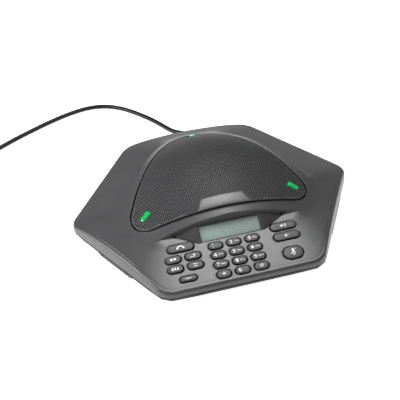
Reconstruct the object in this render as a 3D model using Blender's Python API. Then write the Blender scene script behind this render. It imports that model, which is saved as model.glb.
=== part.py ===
"""Conference speakerphone: a low hexagonal table unit with a domed speaker grille, three
microphone lobes, a keypad facet with a tilted display, and a free cable.  Metres, +Z up.
The unit rests on z = 0, its keypad edge faces -Y, and its cable leaves the middle of the +Y edge."""

import math

import bmesh
import bpy
import numpy as np
from mathutils import Matrix, Vector

MM = 0.001

# Driving dimensions, in millimetres and degrees.
APOTHEM = 121.1          # centre to each side of the hexagon, at the parting line
CORNER_R = 19.0          # plan radius of the hexagon's corners
PARTING_Z = 5.0          # lower edge of the top shell
WALL = 2.4               # shell thickness
SKIRT_DRAFT = 0.10       # inward lean of the skirt for each millimetre of height
EDGE_R = 1.6             # rounding between the skirt and the top surfaces

FACET_EDGE_A = 119.8     # where the facet planes meet the skirt
FACET_EDGE_Z = 11.3
FACET_TILT = 16.0
FACET_TOP_A = 67.8       # foot of the step between a facet and the dome
STEP_RISE = 30.0         # slope of that step, rise over run

LOBE_EDGE_R = 118.5      # microphone lobes: height and slope on their centre line
LOBE_EDGE_Z = 18.0
LOBE_SLOPE = 0.28
LOBE_CROWN = 0.0012

DOME_TOP_Z = 55.6        # speaker dome
DOME_FLAT_R = 200.0
DOME_FALL = 1.465

OPENING_A = 61.1         # speaker opening in the shell: three bowed sides with round corners
GRILLE_A = 59.6
SIDE_BOW_R = 500.0
OPENING_CORNER_R = 21.0
GRILLE_T = 1.8

RAMP_TILT = 43.0         # display bezel
RAMP_FOOT_A = 79.2
RAMP_TOP_A = 68.1
RAMP_HALF_W = 30.0
RAMP_SIDE_FALL = 0.35
BEZEL_T = 2.2
FIT_GAP = 0.35

WINDOW = (52.4, 12.8, 1.0)
WINDOW_TILT = 37.5
WINDOW_AT = (7.35, -1.1)     # up the ramp, and down from its face

KEY_PROUD = 1.3
KEY_GAP = 0.6
KEY_FLANGE = 0.8
COLUMN_PITCH = 16.4
ROW_PITCH = 9.75
FIRST_ROW = 6.8          # up the facet from its lower edge
SIDE_COLUMN = 46.4       # centre of the left and right key groups

CORD_D = 5.2
CORD_LIES_Z = 2.7
CORD_EXIT_Z = 7.4
RELIEF_END_Y = 132.0
RELIEF_END_Z = 6.0
COIL_CENTRE = (-272.0, 85.0)
COIL_MEAN_R = 28.9       # eleven cord diameters across at the middle of the turns
COIL_HALF_W = 13.4
COIL_Z = (1.2, 22.6)
TUBE_POINTS = 44

LOBES = (("back", 90.0), ("front_left", 210.0), ("front_right", 330.0))


# ---------------------------------------------------------------- scene helpers

def clear_scene():
    for obj in list(bpy.data.objects):
        bpy.data.objects.remove(obj, do_unlink=True)


def collection(name):
    coll = bpy.data.collections.new(name)
    bpy.context.scene.collection.children.link(coll)
    return coll


clear_scene()
PARTS = collection("conference_speakerphone")
CUTTERS = collection("cutters")
MATERIALS = {}


def material(name, rgb, roughness, metallic=0.0, alpha=1.0):
    if name in MATERIALS:
        return MATERIALS[name]
    mat = bpy.data.materials.new(name)
    mat.use_nodes = True
    shader = mat.node_tree.nodes["Principled BSDF"]
    shader.inputs["Base Color"].default_value = (*rgb, 1.0)
    shader.inputs["Roughness"].default_value = roughness
    shader.inputs["Metallic"].default_value = metallic
    shader.inputs["Alpha"].default_value = alpha
    MATERIALS[name] = mat
    return mat


def shell_plastic():
    return material("shell_plastic", (0.115, 0.115, 0.12), 0.55)


def grille_plastic():
    return material("grille_plastic", (0.10, 0.10, 0.105), 0.55)


def base_plastic():
    return material("base_plastic", (0.05, 0.05, 0.055), 0.6)


def key_rubber():
    return material("key_plastic", (0.12, 0.12, 0.125), 0.4)


def mesh_object(name, bm, mat, group=None, spot=None):
    """A node from a finished bmesh in millimetres; with a spot, the bmesh is measured from it."""
    bmesh.ops.scale(bm, vec=(MM, MM, MM), verts=bm.verts)
    bmesh.ops.recalc_face_normals(bm, faces=bm.faces)
    mesh = bpy.data.meshes.new(name)
    bm.to_mesh(mesh)
    bm.free()
    mesh.shade_smooth()
    mesh.set_sharp_from_angle(angle=math.radians(30.0))
    obj = bpy.data.objects.new(name, mesh)
    if spot:
        obj.matrix_world = Matrix.Translation(spot.translation * MM) @ spot.to_3x3().to_4x4()
    obj.data.materials.append(mat)
    (group or PARTS).objects.link(obj)
    return obj


def cutter(name, bm):
    obj = mesh_object(name, bm, base_plastic(), CUTTERS)
    obj.hide_render = True
    obj.display_type = "WIRE"
    return obj


def combine(target, other, operation):
    mod = target.modifiers.new(operation.lower() + "_" + other.name, "BOOLEAN")
    mod.operation = operation
    mod.solver = "EXACT"
    mod.object = other


def cut(target, other):
    combine(target, other, "DIFFERENCE")


def bridge_rings(bm, rings):
    """Quads between neighbouring closed rings of equal length."""
    for low, high in zip(rings, rings[1:]):
        n = len(low)
        for i in range(n):
            j = (i + 1) % n
            bm.faces.new((low[i], low[j], high[j], high[i]))


def fan(bm, ring, centre):
    tip = bm.verts.new(centre)
    for i in range(len(ring)):
        bm.faces.new((ring[i], ring[(i + 1) % len(ring)], tip))


def ring_solid(rings, closed_ends=True):
    """A body from a list of rings of points; its two ends are filled flat."""
    bm = bmesh.new()
    made = [[bm.verts.new(p) for p in ring] for ring in rings]
    bridge_rings(bm, made)
    if closed_ends:
        bm.faces.new(made[0])
        bm.faces.new(made[-1])
    else:
        bridge_rings(bm, [made[-1], made[0]])
    return bm


def box(size, place=None):
    bm = bmesh.new()
    bmesh.ops.create_cube(bm, size=1.0)
    bmesh.ops.scale(bm, vec=size, verts=bm.verts)
    if place is not None:
        bm.transform(place)
    return bm


def cylinder(radius, z0, z1, sides=24, radius_top=None):
    bm = bmesh.new()
    top = radius if radius_top is None else radius_top
    bmesh.ops.create_cone(bm, cap_ends=True, segments=sides, radius1=radius, radius2=top,
                          depth=z1 - z0)
    bmesh.ops.translate(bm, vec=(0, 0, (z0 + z1) / 2), verts=bm.verts)
    return bm


def turned(profile, sides=32):
    """A closed ring turned about Z from a closed profile of (radius, z) points."""
    rings = []
    for r, z in profile:
        rings.append([(r * math.cos(t), r * math.sin(t), z)
                      for t in np.linspace(0, 2 * math.pi, sides, endpoint=False)])
    return ring_solid(rings, closed_ends=False)


def place(x=0.0, y=0.0, z=0.0, turn_z=0.0, turn_x=0.0):
    return (Matrix.Translation((x, y, z)) @ Matrix.Rotation(math.radians(turn_z), 4, "Z")
            @ Matrix.Rotation(math.radians(turn_x), 4, "X"))


# ---------------------------------------------------------------- plan outlines

def sector_angle(theta, count, first):
    """Angle from the nearest of count evenly spaced directions, the first at `first` degrees."""
    step = 360.0 / count
    return (theta - first + step / 2) % step - step / 2


def hexagon_radius(theta, apothem, corner_r):
    """Distance to a rounded hexagon with sides facing -90, -30, 30 ... degrees."""
    phi = np.radians(np.abs(sector_angle(theta, 6, -90.0)))
    straight = apothem / np.cos(phi)
    centre = (apothem - corner_r) / math.cos(math.radians(30))
    psi = math.radians(30) - phi
    inner = np.maximum(corner_r ** 2 - (centre * np.sin(psi)) ** 2, 0)
    arc = centre * np.cos(psi) + np.sqrt(inner)
    tangent = math.atan((apothem - corner_r) / apothem * math.tan(math.radians(30)))
    return np.where(phi < tangent, straight, arc)


def opening_radius(theta, apothem, corner_r):
    """Distance to the speaker opening: sides bow out with SIDE_BOW_R, corners face the lobes."""
    phi = np.radians(np.abs(sector_angle(theta, 3, -90.0)))
    q = apothem - SIDE_BOW_R
    side = q * np.cos(phi) + np.sqrt(SIDE_BOW_R ** 2 - (q * np.sin(phi)) ** 2)
    d = (q + math.sqrt(q * q - 4 * (q * q - (SIDE_BOW_R - corner_r) ** 2))) / 2
    psi = math.radians(60) - phi
    inner = np.maximum(corner_r ** 2 - (d * np.sin(psi)) ** 2, 0)
    arc = d * np.cos(psi) + np.sqrt(inner)
    lobe = np.array([0.5, math.sqrt(0.75)]) * d
    reach = lobe - np.array([q, 0.0])
    touch = np.array([q, 0.0]) + reach * SIDE_BOW_R / np.linalg.norm(reach)
    return np.where(phi < math.atan2(touch[1], touch[0]), side, arc)


def step_radius(theta, apothem):
    """Distance to the step line: straight across each facet, round past the lobes."""
    phi = np.radians(np.abs(sector_angle(theta, 3, -90.0)))
    straight = apothem / np.cos(phi)
    outer = apothem + 28.0
    gap = np.maximum(6.0 - np.abs(straight - outer), 0) / 6.0
    return np.minimum(straight, outer) - gap * gap * 1.5


def around():
    """Directions round the unit, closer together at the hexagon's corners and over the lobes."""
    half = [10, 19, 26, 28, 30, 32, 34, 38, 42, 46, 49, 52, 55, 57.5]
    third = [0.0, *half, 60.0, *[120.0 - step for step in reversed(half)]]
    return np.array([-90.0 + 120.0 * k + step for k in range(3) for step in third])


def ring_at(theta, radius, z):
    t = np.radians(theta)
    height = np.broadcast_to(z, t.shape)
    return np.stack([radius * np.cos(t), radius * np.sin(t), height], axis=1)


# ---------------------------------------------------------------- top surface

def smooth_max(a, b, k):
    h = np.maximum(k - np.abs(a - b), 0) / k
    return np.maximum(a, b) + h * h * k / 4


def facet_height(a):
    return FACET_EDGE_Z + math.tan(math.radians(FACET_TILT)) * (FACET_EDGE_A - a)


def dome_height(r):
    return DOME_TOP_Z - DOME_FALL * (np.sqrt(r * r + DOME_FLAT_R ** 2) - DOME_FLAT_R)


def lobe_height(x, y):
    best = None
    for _, angle in LOBES:
        t = math.radians(angle)
        u = x * math.cos(t) + y * math.sin(t)
        v = -x * math.sin(t) + y * math.cos(t)
        z = LOBE_EDGE_Z + LOBE_SLOPE * (LOBE_EDGE_R - u) - LOBE_CROWN * v * v
        best = (u, z) if best is None else (np.maximum(best[0], u), np.where(u > best[0], z, best[1]))
    return best[1]


def top_height(x, y, step_at):
    """Height of the shell: lobes and dome, cut down to a plane on each of three facets."""
    height = smooth_max(dome_height(np.hypot(x, y)), lobe_height(x, y), 2.0)
    for angle in (-90.0, 30.0, 150.0):
        t = math.radians(angle)
        a = x * math.cos(t) + y * math.sin(t)
        plane = facet_height(a) + np.maximum(step_at - a, 0) * STEP_RISE
        height = np.where(a > 20.0, np.minimum(height, plane), height)
    return height


def shell_rings(thickness, shares):
    """Rings of one skin of the shell from its lower edge up to the speaker opening."""
    theta = around()
    foot = FACET_TOP_A - thickness
    apothem = APOTHEM - thickness
    corner = CORNER_R - thickness

    def skin(radius, lower=0.0):
        flat = ring_at(theta, radius, 0.0)
        flat[:, 2] = top_height(flat[:, 0], flat[:, 1], foot) - thickness - lower
        return flat

    def lean(inset, lower):
        rim = skin(hexagon_radius(theta, apothem - inset, corner), lower)
        draft = SKIRT_DRAFT * (rim[:, 2] - PARTING_Z)
        radius = hexagon_radius(theta, apothem - inset, corner) - draft
        return ring_at(theta, radius, rim[:, 2])

    rings = [ring_at(theta, hexagon_radius(theta, apothem, corner), PARTING_Z)]
    rings += [lean(0.0, EDGE_R), lean(0.3 * EDGE_R, 0.3 * EDGE_R), lean(EDGE_R, 0.0)]
    rim = np.hypot(rings[-1][:, 0], rings[-1][:, 1])
    step_out = step_radius(theta, foot - 0.3) + 0.5
    for share in shares:
        rings.append(skin(rim + (step_out - rim) * share))
    rings.append(skin(step_out - 0.9))
    opening = opening_radius(theta, OPENING_A, OPENING_CORNER_R)
    rings.append(skin((opening + step_out - 0.9) / 2 + 0.2))
    rings.append(skin(opening))
    return rings


def make_top_shell():
    outer = shell_rings(0.0, (0.25, 0.5, 0.75, 1.0))
    inner = shell_rings(WALL, (0.56, 1.0))
    rings = [list(map(tuple, ring)) for ring in outer + inner[::-1]]
    shell = mesh_object("top_shell", ring_solid(rings, closed_ends=False), shell_plastic())
    for index in range(6):
        t = math.radians(60.0 * index)
        x, y = 127.0 * math.cos(t), 127.0 * math.sin(t)
        roof = float(top_height(np.array(x), np.array(y), FACET_TOP_A)) - 1.2
        post = cylinder(3.6, 7.0, roof, 16)
        post.transform(place(x, y))
        combine(shell, cutter("screw_post_%d" % index, post), "UNION")
        bore = cylinder(1.85, 4.0, roof - 1.5, 12)
        bore.transform(place(x, y))
        cut(shell, cutter("screw_post_bore_%d" % index, bore))
    return shell


# ---------------------------------------------------------------- keypad frame

def on_facet(x, up, out=0.0):
    """World place of a point on the front facet, `up` from its lower edge and `out` along its normal."""
    t = math.radians(FACET_TILT)
    y = -FACET_EDGE_A + up * math.cos(t) - out * math.sin(t)
    z = FACET_EDGE_Z + up * math.sin(t) + out * math.cos(t)
    return Matrix.Translation((x, y, z)) @ Matrix.Rotation(t, 4, "X")


def on_ramp(up, out, tilt=RAMP_TILT):
    """The same on the display ramp, measured from the ramp's foot."""
    t = math.radians(RAMP_TILT)
    y = -RAMP_FOOT_A + up * math.cos(t) - out * math.sin(t)
    z = float(facet_height(RAMP_FOOT_A)) + up * math.sin(t) + out * math.cos(t)
    return Matrix.Translation((0, y, z)) @ Matrix.Rotation(math.radians(tilt), 4, "X")


def pill_ring(width, height, corner, w, per_corner=4):
    """A rectangle with round corners in the plane z = w."""
    corner = min(corner, width / 2 - 0.01, height / 2 - 0.01)
    points = []
    for k in range(4):
        cx = (width / 2 - corner) * (1 if k in (0, 3) else -1)
        cy = (height / 2 - corner) * (1 if k in (0, 1) else -1)
        for s in range(per_corner):
            t = math.radians(90 * k + 90 * s / (per_corner - 1))
            points.append((cx + corner * math.cos(t), cy + corner * math.sin(t), w))
    return points


def key_layout():
    """Name, centre across, centre up the facet, width and height of every key."""
    rows = [FIRST_ROW + ROW_PITCH * k for k in range(4)]
    keys = []
    names = (("star", "0", "hash"), ("7", "8", "9"), ("4", "5", "6"), ("1", "2", "3"))
    for up, row in zip(rows, names):
        for column, name in enumerate(row):
            keys.append(("key_" + name, COLUMN_PITCH * (column - 1), up, 12.4, 7.1))
    left = -SIDE_COLUMN
    keys.append(("key_hook", left, 41.5, 23.6, 8.0))
    keys.append(("key_upper_left", left - 8.75, 30.8, 13.7, 7.1))
    keys.append(("key_upper_right", left + 8.75, 30.8, 13.7, 7.1))
    keys.append(("key_lower_left", left - 8.75, 21.3, 13.7, 7.1))
    keys.append(("key_lower_right", left + 8.75, 21.3, 13.7, 7.1))
    keys.append(("key_slim", left, 9.9, 14.6, 5.2))
    keys.append(("key_volume_up", SIDE_COLUMN, 41.3, 23.4, 7.8))
    keys.append(("key_volume_down", SIDE_COLUMN, 30.6, 23.4, 7.8))
    keys.append(("key_mute", SIDE_COLUMN, 12.8, 17.4, 12.2))
    return keys


def make_key(name, x, up, width, height):
    corner = height / 2
    flange = (width + 2 * KEY_FLANGE, height + 2 * KEY_FLANGE, corner + KEY_FLANGE)
    profile = [(flange, -3.5), (flange, -2.75), ((width, height, corner), -2.75),
               ((width, height, corner), 0.35)]
    for inset, out in ((0.5, 0.85), (1.3, 1.15)):
        profile.append(((width - 2 * inset, height - 2 * inset, corner - inset), out))
    bm = bmesh.new()
    rings = [[bm.verts.new(p) for p in pill_ring(*shape, w)] for shape, w in profile]
    bridge_rings(bm, rings)
    bm.faces.new(rings[0])
    fan(bm, rings[-1], (0, 0, KEY_PROUD))
    return mesh_object(name, bm, key_rubber(), spot=on_facet(x, up))


def make_keys(shell):
    for name, x, up, width, height in key_layout():
        make_key(name, x, up, width, height)
        hole = (width + 2 * KEY_GAP, height + 2 * KEY_GAP, height / 2 + KEY_GAP)
        bm = ring_solid([pill_ring(*hole, -5.0), pill_ring(*hole, 5.0)])
        bm.transform(on_facet(x, up))
        cut(shell, cutter("hole_" + name, bm))


# ---------------------------------------------------------------- display

def ramp_side_b():
    """Half width of the bezel where its side facets run out into the keypad facet."""
    rise = math.tan(math.radians(RAMP_TILT)) * (RAMP_FOOT_A - RAMP_TOP_A)
    fall = math.tan(math.radians(FACET_TILT)) * (RAMP_FOOT_A - RAMP_TOP_A)
    return RAMP_HALF_W + (rise - fall) / RAMP_SIDE_FALL


def make_bezel():
    foot = float(facet_height(RAMP_FOOT_A))
    top = foot + math.tan(math.radians(RAMP_TILT)) * (RAMP_FOOT_A - RAMP_TOP_A)
    side = float(facet_height(RAMP_TOP_A))
    wide = ramp_side_b()
    plan = [(-RAMP_HALF_W, -RAMP_FOOT_A, foot), (RAMP_HALF_W, -RAMP_FOOT_A, foot),
            (wide, -RAMP_TOP_A, side), (RAMP_HALF_W, -RAMP_TOP_A, top),
            (-RAMP_HALF_W, -RAMP_TOP_A, top), (-wide, -RAMP_TOP_A, side)]
    bm = bmesh.new()
    upper = [bm.verts.new(p) for p in plan]
    lower = [bm.verts.new((x, y, z - BEZEL_T)) for x, y, z in plan]
    for ring in (upper, lower):
        bm.faces.new((ring[0], ring[1], ring[3], ring[4]))
        bm.faces.new((ring[1], ring[2], ring[3]))
        bm.faces.new((ring[0], ring[4], ring[5]))
    bridge_rings(bm, [lower, upper])
    bezel = mesh_object("display_bezel", bm, shell_plastic())
    pocket = box((WINDOW[0] + 1.0, WINDOW[1] + 0.7, 12.0), on_ramp(WINDOW_AT[0], 0.0))
    cut(bezel, cutter("display_pocket", pocket))
    return bezel


def make_display(shell):
    make_bezel()
    glass = material("display_glass", (0.45, 0.55, 0.50), 0.12, alpha=0.5)
    mesh_object("display_window", box(WINDOW, on_ramp(*WINDOW_AT, tilt=WINDOW_TILT)), glass)
    panel = material("display_panel", (0.36, 0.45, 0.40), 0.35)
    mesh_object("display_module", box((56.0, 14.2, 2.6), on_ramp(7.5, -5.1)), panel)
    room = box((58.0, 16.5, 9.9), on_ramp(7.5, -6.15))
    cut(shell, cutter("display_room", room))
    wide = ramp_side_b()
    outline = [(-RAMP_HALF_W - FIT_GAP, -RAMP_FOOT_A - FIT_GAP),
               (RAMP_HALF_W + FIT_GAP, -RAMP_FOOT_A - FIT_GAP),
               (wide + 2 * FIT_GAP, -RAMP_TOP_A + FIT_GAP - 0.1),
               (-wide - 2 * FIT_GAP, -RAMP_TOP_A + FIT_GAP - 0.1)]
    rings = [[(x, y, z) for x, y in outline] for z in (14.0, 34.0)]
    cut(shell, cutter("bezel_opening", ring_solid(rings)))


# ---------------------------------------------------------------- speaker and grille

def make_grille():
    theta = around()[::2]
    rim = opening_radius(theta, GRILLE_A, OPENING_CORNER_R - OPENING_A + GRILLE_A)
    bm = bmesh.new()
    skins = []
    for drop in (0.0, GRILLE_T):
        rings = []
        for share in (1.0, 0.95, 0.7, 0.4):
            flat = ring_at(theta, rim * share, 0.0)
            flat[:, 2] = dome_height(np.hypot(flat[:, 0], flat[:, 1])) - drop
            if share == 1.0:
                flat[:, 2] -= 0.5
            rings.append([bm.verts.new(tuple(p)) for p in flat])
        bridge_rings(bm, rings)
        fan(bm, rings[-1], (0, 0, DOME_TOP_Z - drop))
        skins.append(rings)
    bridge_rings(bm, [skins[0][0], skins[1][0]])
    grille = mesh_object("speaker_grille", bm, grille_plastic())
    green = material("light_guide", (0.02, 0.42, 0.10), 0.3)
    for name, angle in LOBES:
        tilt = math.degrees(math.atan(DOME_FALL * 80.0 / math.hypot(80.0, DOME_FLAT_R)))
        t = math.radians(angle)
        z = float(dome_height(np.array(80.0)))
        spot = place(80.0 * math.cos(t), 80.0 * math.sin(t), z, angle - 90.0, -tilt)
        slot = ring_solid([pill_ring(5.6, 11.4, 1.2, -6.0, 3), pill_ring(5.6, 11.4, 1.2, 6.0, 3)])
        slot.transform(spot)
        cut(grille, cutter("light_slot_" + name, slot))
        guide = ring_solid([pill_ring(4.9, 10.7, 1.0, -4.0, 3), pill_ring(4.9, 10.7, 1.0, 0.5, 3),
                            pill_ring(4.1, 9.9, 0.7, 0.9, 3)])
        guide.transform(spot)
        mesh_object("light_" + name, guide, green)


def make_speaker():
    dark = material("speaker_steel", (0.25, 0.25, 0.26), 0.4, 0.9)
    frame = [(22.0, 29.0), (36.0, 44.0), (39.5, 44.0), (39.5, 45.4), (34.6, 45.4), (20.4, 30.4),
             (13.0, 30.4), (13.0, 29.0)]
    mesh_object("speaker_frame", turned(frame), dark)
    cone = [(8.0, 33.0), (32.5, 44.4), (34.0, 44.9), (33.6, 45.3), (32.0, 45.0), (8.0, 34.0)]
    bm = turned(cone)
    cone_material = material("speaker_paper", (0.03, 0.03, 0.03), 0.9)
    mesh_object("speaker_cone", bm, cone_material)
    magnet_material = material("magnet_steel", (0.32, 0.32, 0.33), 0.35, 0.9)
    mesh_object("speaker_magnet", cylinder(21.0, 14.0, 28.6, 32), magnet_material)


# ---------------------------------------------------------------- inside

def make_boards():
    board = material("circuit_board", (0.02, 0.16, 0.07), 0.5)
    theta = np.arange(-90.0, 270.0, 15.0)
    main = [ring_at(theta, hexagon_radius(theta, 92.0, 12.0), z) for z in (8.0, 9.6)]
    rings = [list(map(tuple, ring)) for ring in main]
    mesh_object("main_board", ring_solid(rings), board)
    low, high = 5.4, 44.4
    middle = on_facet(0.0, (low + high) / 2, -5.6)
    mesh_object("keypad_board", box((118.0, high - low, 1.2), middle), board)


def make_microphones():
    metal = material("microphone_can", (0.55, 0.55, 0.56), 0.3, 0.9)
    rubber = material("microphone_rubber", (0.02, 0.02, 0.02), 0.85)
    for name, angle in LOBES:
        t = math.radians(angle)
        spot = place(108.0 * math.cos(t), 108.0 * math.sin(t), 11.0, angle - 90.0, -90.0)
        can = cylinder(4.6, -3.4, 3.0, 16)
        can.transform(spot)
        mesh_object("microphone_" + name, can, metal)
        sleeve = turned([(4.9, -2.6), (6.0, -2.6), (6.0, 4.2), (4.9, 4.2)], 16)
        sleeve.transform(spot)
        mesh_object("microphone_sleeve_" + name, sleeve, rubber)


# ---------------------------------------------------------------- base

def foot_block(angle):
    """A block under each lobe: flush with the skirt, with ends that slope in towards the table."""
    top, bottom = 27.0, 22.5
    face, back = APOTHEM - 0.2, APOTHEM - 15.0
    rings = []
    for a in (back, face):
        rings.append([(-top, a, 3.6), (-bottom, a, 0.6), (bottom, a, 0.6), (top, a, 3.6),
                      (top, a, PARTING_Z - 0.35), (-top, a, PARTING_Z - 0.35)])
    bm = ring_solid(rings)
    bm.transform(place(turn_z=angle - 90.0))
    return bm


def make_housing():
    theta = around()[::2]
    plate_z = PARTING_Z - 0.35
    profile = [(2.6, 1.6), (1.0, 1.9), (0.5, 2.6), (0.5, 4.4), (1.8, plate_z), (3.6, plate_z), (3.6, 6.6),
               (5.0, 6.6), (5.0, 4.1)]
    rings = [ring_at(theta, hexagon_radius(theta, APOTHEM - inset, CORNER_R - inset), z)
             for inset, z in profile]
    rings = [list(map(tuple, ring)) for ring in rings]
    housing = mesh_object("bottom_housing", ring_solid(rings), base_plastic())
    rubber = material("foot_rubber", (0.015, 0.015, 0.016), 0.8)
    for name, angle in LOBES:
        combine(housing, cutter("block_" + name, foot_block(angle)), "UNION")
    for name, angle in LOBES:
        spot = place(turn_z=angle - 90.0) @ Matrix.Translation((0, APOTHEM - 7.6, 0))
        recess = ring_solid([pill_ring(38.8, 9.8, 4.9, -1.0), pill_ring(38.8, 9.8, 4.9, 2.3)])
        recess.transform(spot)
        cut(housing, cutter("foot_recess_" + name, recess))
        pad = ring_solid([pill_ring(37.4, 8.4, 4.2, 0.0), pill_ring(38.0, 9.0, 4.5, 0.4),
                          pill_ring(38.0, 9.0, 4.5, 1.95)])
        pad.transform(spot)
        mesh_object("foot_" + name, pad, rubber)
        for side in (-17.5, 17.5):
            port = box((2.2, 4.5, 1.5), place(turn_z=angle - 90.0)
                       @ Matrix.Translation((side, APOTHEM + 0.5, 3.3)))
            cut(housing, cutter("port_%s_%d" % (name, side), port))
    return housing


def make_screws(housing):
    steel = material("screw_steel", (0.5, 0.5, 0.52), 0.3, 0.95)
    for index in range(6):
        t = math.radians(60.0 * index)
        x, y = 127.0 * math.cos(t), 127.0 * math.sin(t)
        well = cylinder(3.5, 0.0, 2.9, 20)
        well.transform(place(x, y))
        cut(housing, cutter("screw_well_%d" % index, well))
        bore = cylinder(1.85, 0.0, 8.0, 12)
        bore.transform(place(x, y))
        cut(housing, cutter("screw_bore_%d" % index, bore))
        sides = 16
        rings = []
        for r, z in ((2.0, 1.75), (3.0, 2.1), (3.0, 2.6), (1.5, 2.6), (1.5, 9.3), (0.7, 10.0)):
            rings.append([(r * math.cos(a), r * math.sin(a), z)
                          for a in np.linspace(0, 2 * math.pi, sides, endpoint=False)])
        bm = ring_solid(rings)
        bm.transform(place(x, y))
        mesh_object("screw_%d" % (index + 1), bm, steel)


def make_label():
    paper = material("label_film", (0.55, 0.55, 0.56), 0.5)
    rings = [pill_ring(62.0, 34.0, 3.0, z, 4) for z in (1.05, 1.3)]
    mesh_object("rating_label", ring_solid(rings), paper)


# ---------------------------------------------------------------- cable

def cord_route():
    """The free cable's own points from the strain relief to the coil, in millimetres."""
    z = CORD_LIES_Z
    return [(-0.1, RELIEF_END_Y + 1.6, RELIEF_END_Z - 0.3), (-0.7, 135.4, 5.2), (-2.2, 137.9, 4.4),
            (-4.8, 140.8, 3.7), (-8.9, 145.2, 3.1), (-14.4, 153.4, 2.8), (-20.4, 165.3, z),
            (-28.3, 180.1, z), (-37.4, 194.7, z), (-49.9, 212.0, z), (-63.0, 226.6, z),
            (-77.5, 236.9, z), (-92.2, 241.9, z), (-107.0, 242.0, z), (-124.5, 237.4, z),
            (-144.2, 228.8, z), (-163.3, 218.1, z), (-187.9, 202.6, z), (-211.0, 186.2, z),
            (-233.5, 169.2, z), (-257.0, 151.6, z), (-275.0, 138.0, z), (-292.0, 125.9, z)]


def tail_route():
    """From the coil to the plug."""
    z = CORD_LIES_Z
    return [(-315.0, 70.6, z), (-312.5, 61.5, z), (-307.5, 52.0, z), (-300.0, 43.0, z),
            (-289.5, 35.3, z), (-278.0, 30.2, z), (-267.4, 26.8, 3.1), (-258.2, 24.4, 4.0)]


def smooth_points(points, count):
    """Evenly spaced points of a centripetal Catmull-Rom curve through the given ones."""
    pts = np.array(points, float)
    pts = np.vstack([2 * pts[0] - pts[1], pts, 2 * pts[-1] - pts[-2]])
    fine = []
    for p0, p1, p2, p3 in zip(pts, pts[1:], pts[2:], pts[3:]):
        t0 = 0.0
        t1 = t0 + math.sqrt(np.linalg.norm(p1 - p0))
        t2 = t1 + math.sqrt(np.linalg.norm(p2 - p1))
        t3 = t2 + math.sqrt(np.linalg.norm(p3 - p2))
        t = np.linspace(t1, t2, 24, endpoint=False)[:, None]
        a1 = (t1 - t) / (t1 - t0) * p0 + (t - t0) / (t1 - t0) * p1
        a2 = (t2 - t) / (t2 - t1) * p1 + (t - t1) / (t2 - t1) * p2
        a3 = (t3 - t) / (t3 - t2) * p2 + (t - t2) / (t3 - t2) * p3
        b1 = (t2 - t) / (t2 - t0) * a1 + (t - t0) / (t2 - t0) * a2
        b2 = (t3 - t) / (t3 - t1) * a2 + (t - t1) / (t3 - t1) * a3
        fine.append((t2 - t) / (t2 - t1) * b1 + (t - t1) / (t2 - t1) * b2)
    fine.append(pts[-2][None])
    line = np.vstack(fine)
    along = np.concatenate([[0], np.cumsum(np.linalg.norm(np.diff(line, axis=0), axis=1))])
    want = np.linspace(0, along[-1], count)
    return np.stack([np.interp(want, along, line[:, k]) for k in range(3)], axis=1)


def make_tube(name, points, count):
    curve = bpy.data.curves.new(name, "CURVE")
    curve.dimensions = "3D"
    curve.bevel_depth = CORD_D / 2 * MM
    curve.bevel_resolution = 2
    curve.use_fill_caps = True
    spline = curve.splines.new("POLY")
    path = smooth_points(points, count) * MM
    spline.points.add(count - 1)
    for point, (x, y, z) in zip(spline.points, path):
        point.co = (x, y, z, 1.0)
    obj = bpy.data.objects.new(name, curve)
    obj.data.materials.append(material("cable_jacket", (0.012, 0.012, 0.013), 0.45))
    PARTS.objects.link(obj)
    return obj


def make_relief(shell, housing):
    """The tapered strain relief, clamped in a round port on the parting line."""
    rubber = material("relief_rubber", (0.014, 0.014, 0.015), 0.6)
    rings = []
    profile = ((4.3, 114.6), (4.3, 116.8), (3.6, 116.8), (3.6, 122.0), (3.3, 127.0), (3.0, RELIEF_END_Y))
    for r, y in profile:
        droop = (CORD_EXIT_Z - RELIEF_END_Z) * max((y - 122.0) / (RELIEF_END_Y - 122.0), 0.0) ** 1.5
        rings.append([(r * math.cos(a), y, CORD_EXIT_Z - droop + r * math.sin(a))
                      for a in np.linspace(0, 2 * math.pi, 16, endpoint=False)])
    mesh_object("cable_relief", ring_solid(rings), rubber)
    for target, tag in ((shell, "shell"), (housing, "housing")):
        rings = []
        for r, y in ((4.6, 110.0), (4.6, 117.15), (3.95, 117.15), (3.95, 126.0)):
            rings.append([(r * math.cos(a), y, CORD_EXIT_Z + r * math.sin(a))
                          for a in np.linspace(0, 2 * math.pi, 24, endpoint=False)])
        cut(target, cutter("relief_port_" + tag, ring_solid(rings)))


def make_coil():
    jacket = material("coil_jacket", (0.012, 0.012, 0.013), 0.45)
    r0, r1 = COIL_MEAN_R - COIL_HALF_W, COIL_MEAN_R + COIL_HALF_W
    z0, z1 = COIL_Z
    edge = 2.2
    profile = [(r0, z0 + edge), (r0 + edge, z0), (r1 - edge, z0), (r1, z0 + edge),
               (r1, z1 - edge), (r1 - edge, z1), (r0 + edge, z1), (r0, z1 - edge)]
    bm = turned(profile, 40)
    bm.transform(place(*COIL_CENTRE))
    mesh_object("cable_coil", bm, jacket)


def make_tie():
    """A soft band round the coil's section, on the side away from the unit."""
    strap = material("tie_band", (0.02, 0.02, 0.022), 0.8)
    middle = (COIL_Z[0] + COIL_Z[1]) / 2
    outer = pill_ring(2 * COIL_HALF_W + 3.4, COIL_Z[1] - COIL_Z[0] + 2.2, 2.6, 0.0, 4)
    inner = pill_ring(2 * COIL_HALF_W + 1.8, COIL_Z[1] - COIL_Z[0] + 0.6, 1.9, 0.0, 4)
    t = math.radians(250.0)
    rings = []
    for loop, w in ((outer, -5.0), (outer, 5.0), (inner, 5.0), (inner, -5.0)):
        rings.append([(COIL_MEAN_R + x, w, middle + y) for x, y, _ in loop])
    bm = ring_solid(rings, closed_ends=False)
    bm.transform(place(*COIL_CENTRE, turn_z=math.degrees(t)))
    mesh_object("cable_tie", bm, strap)


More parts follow.
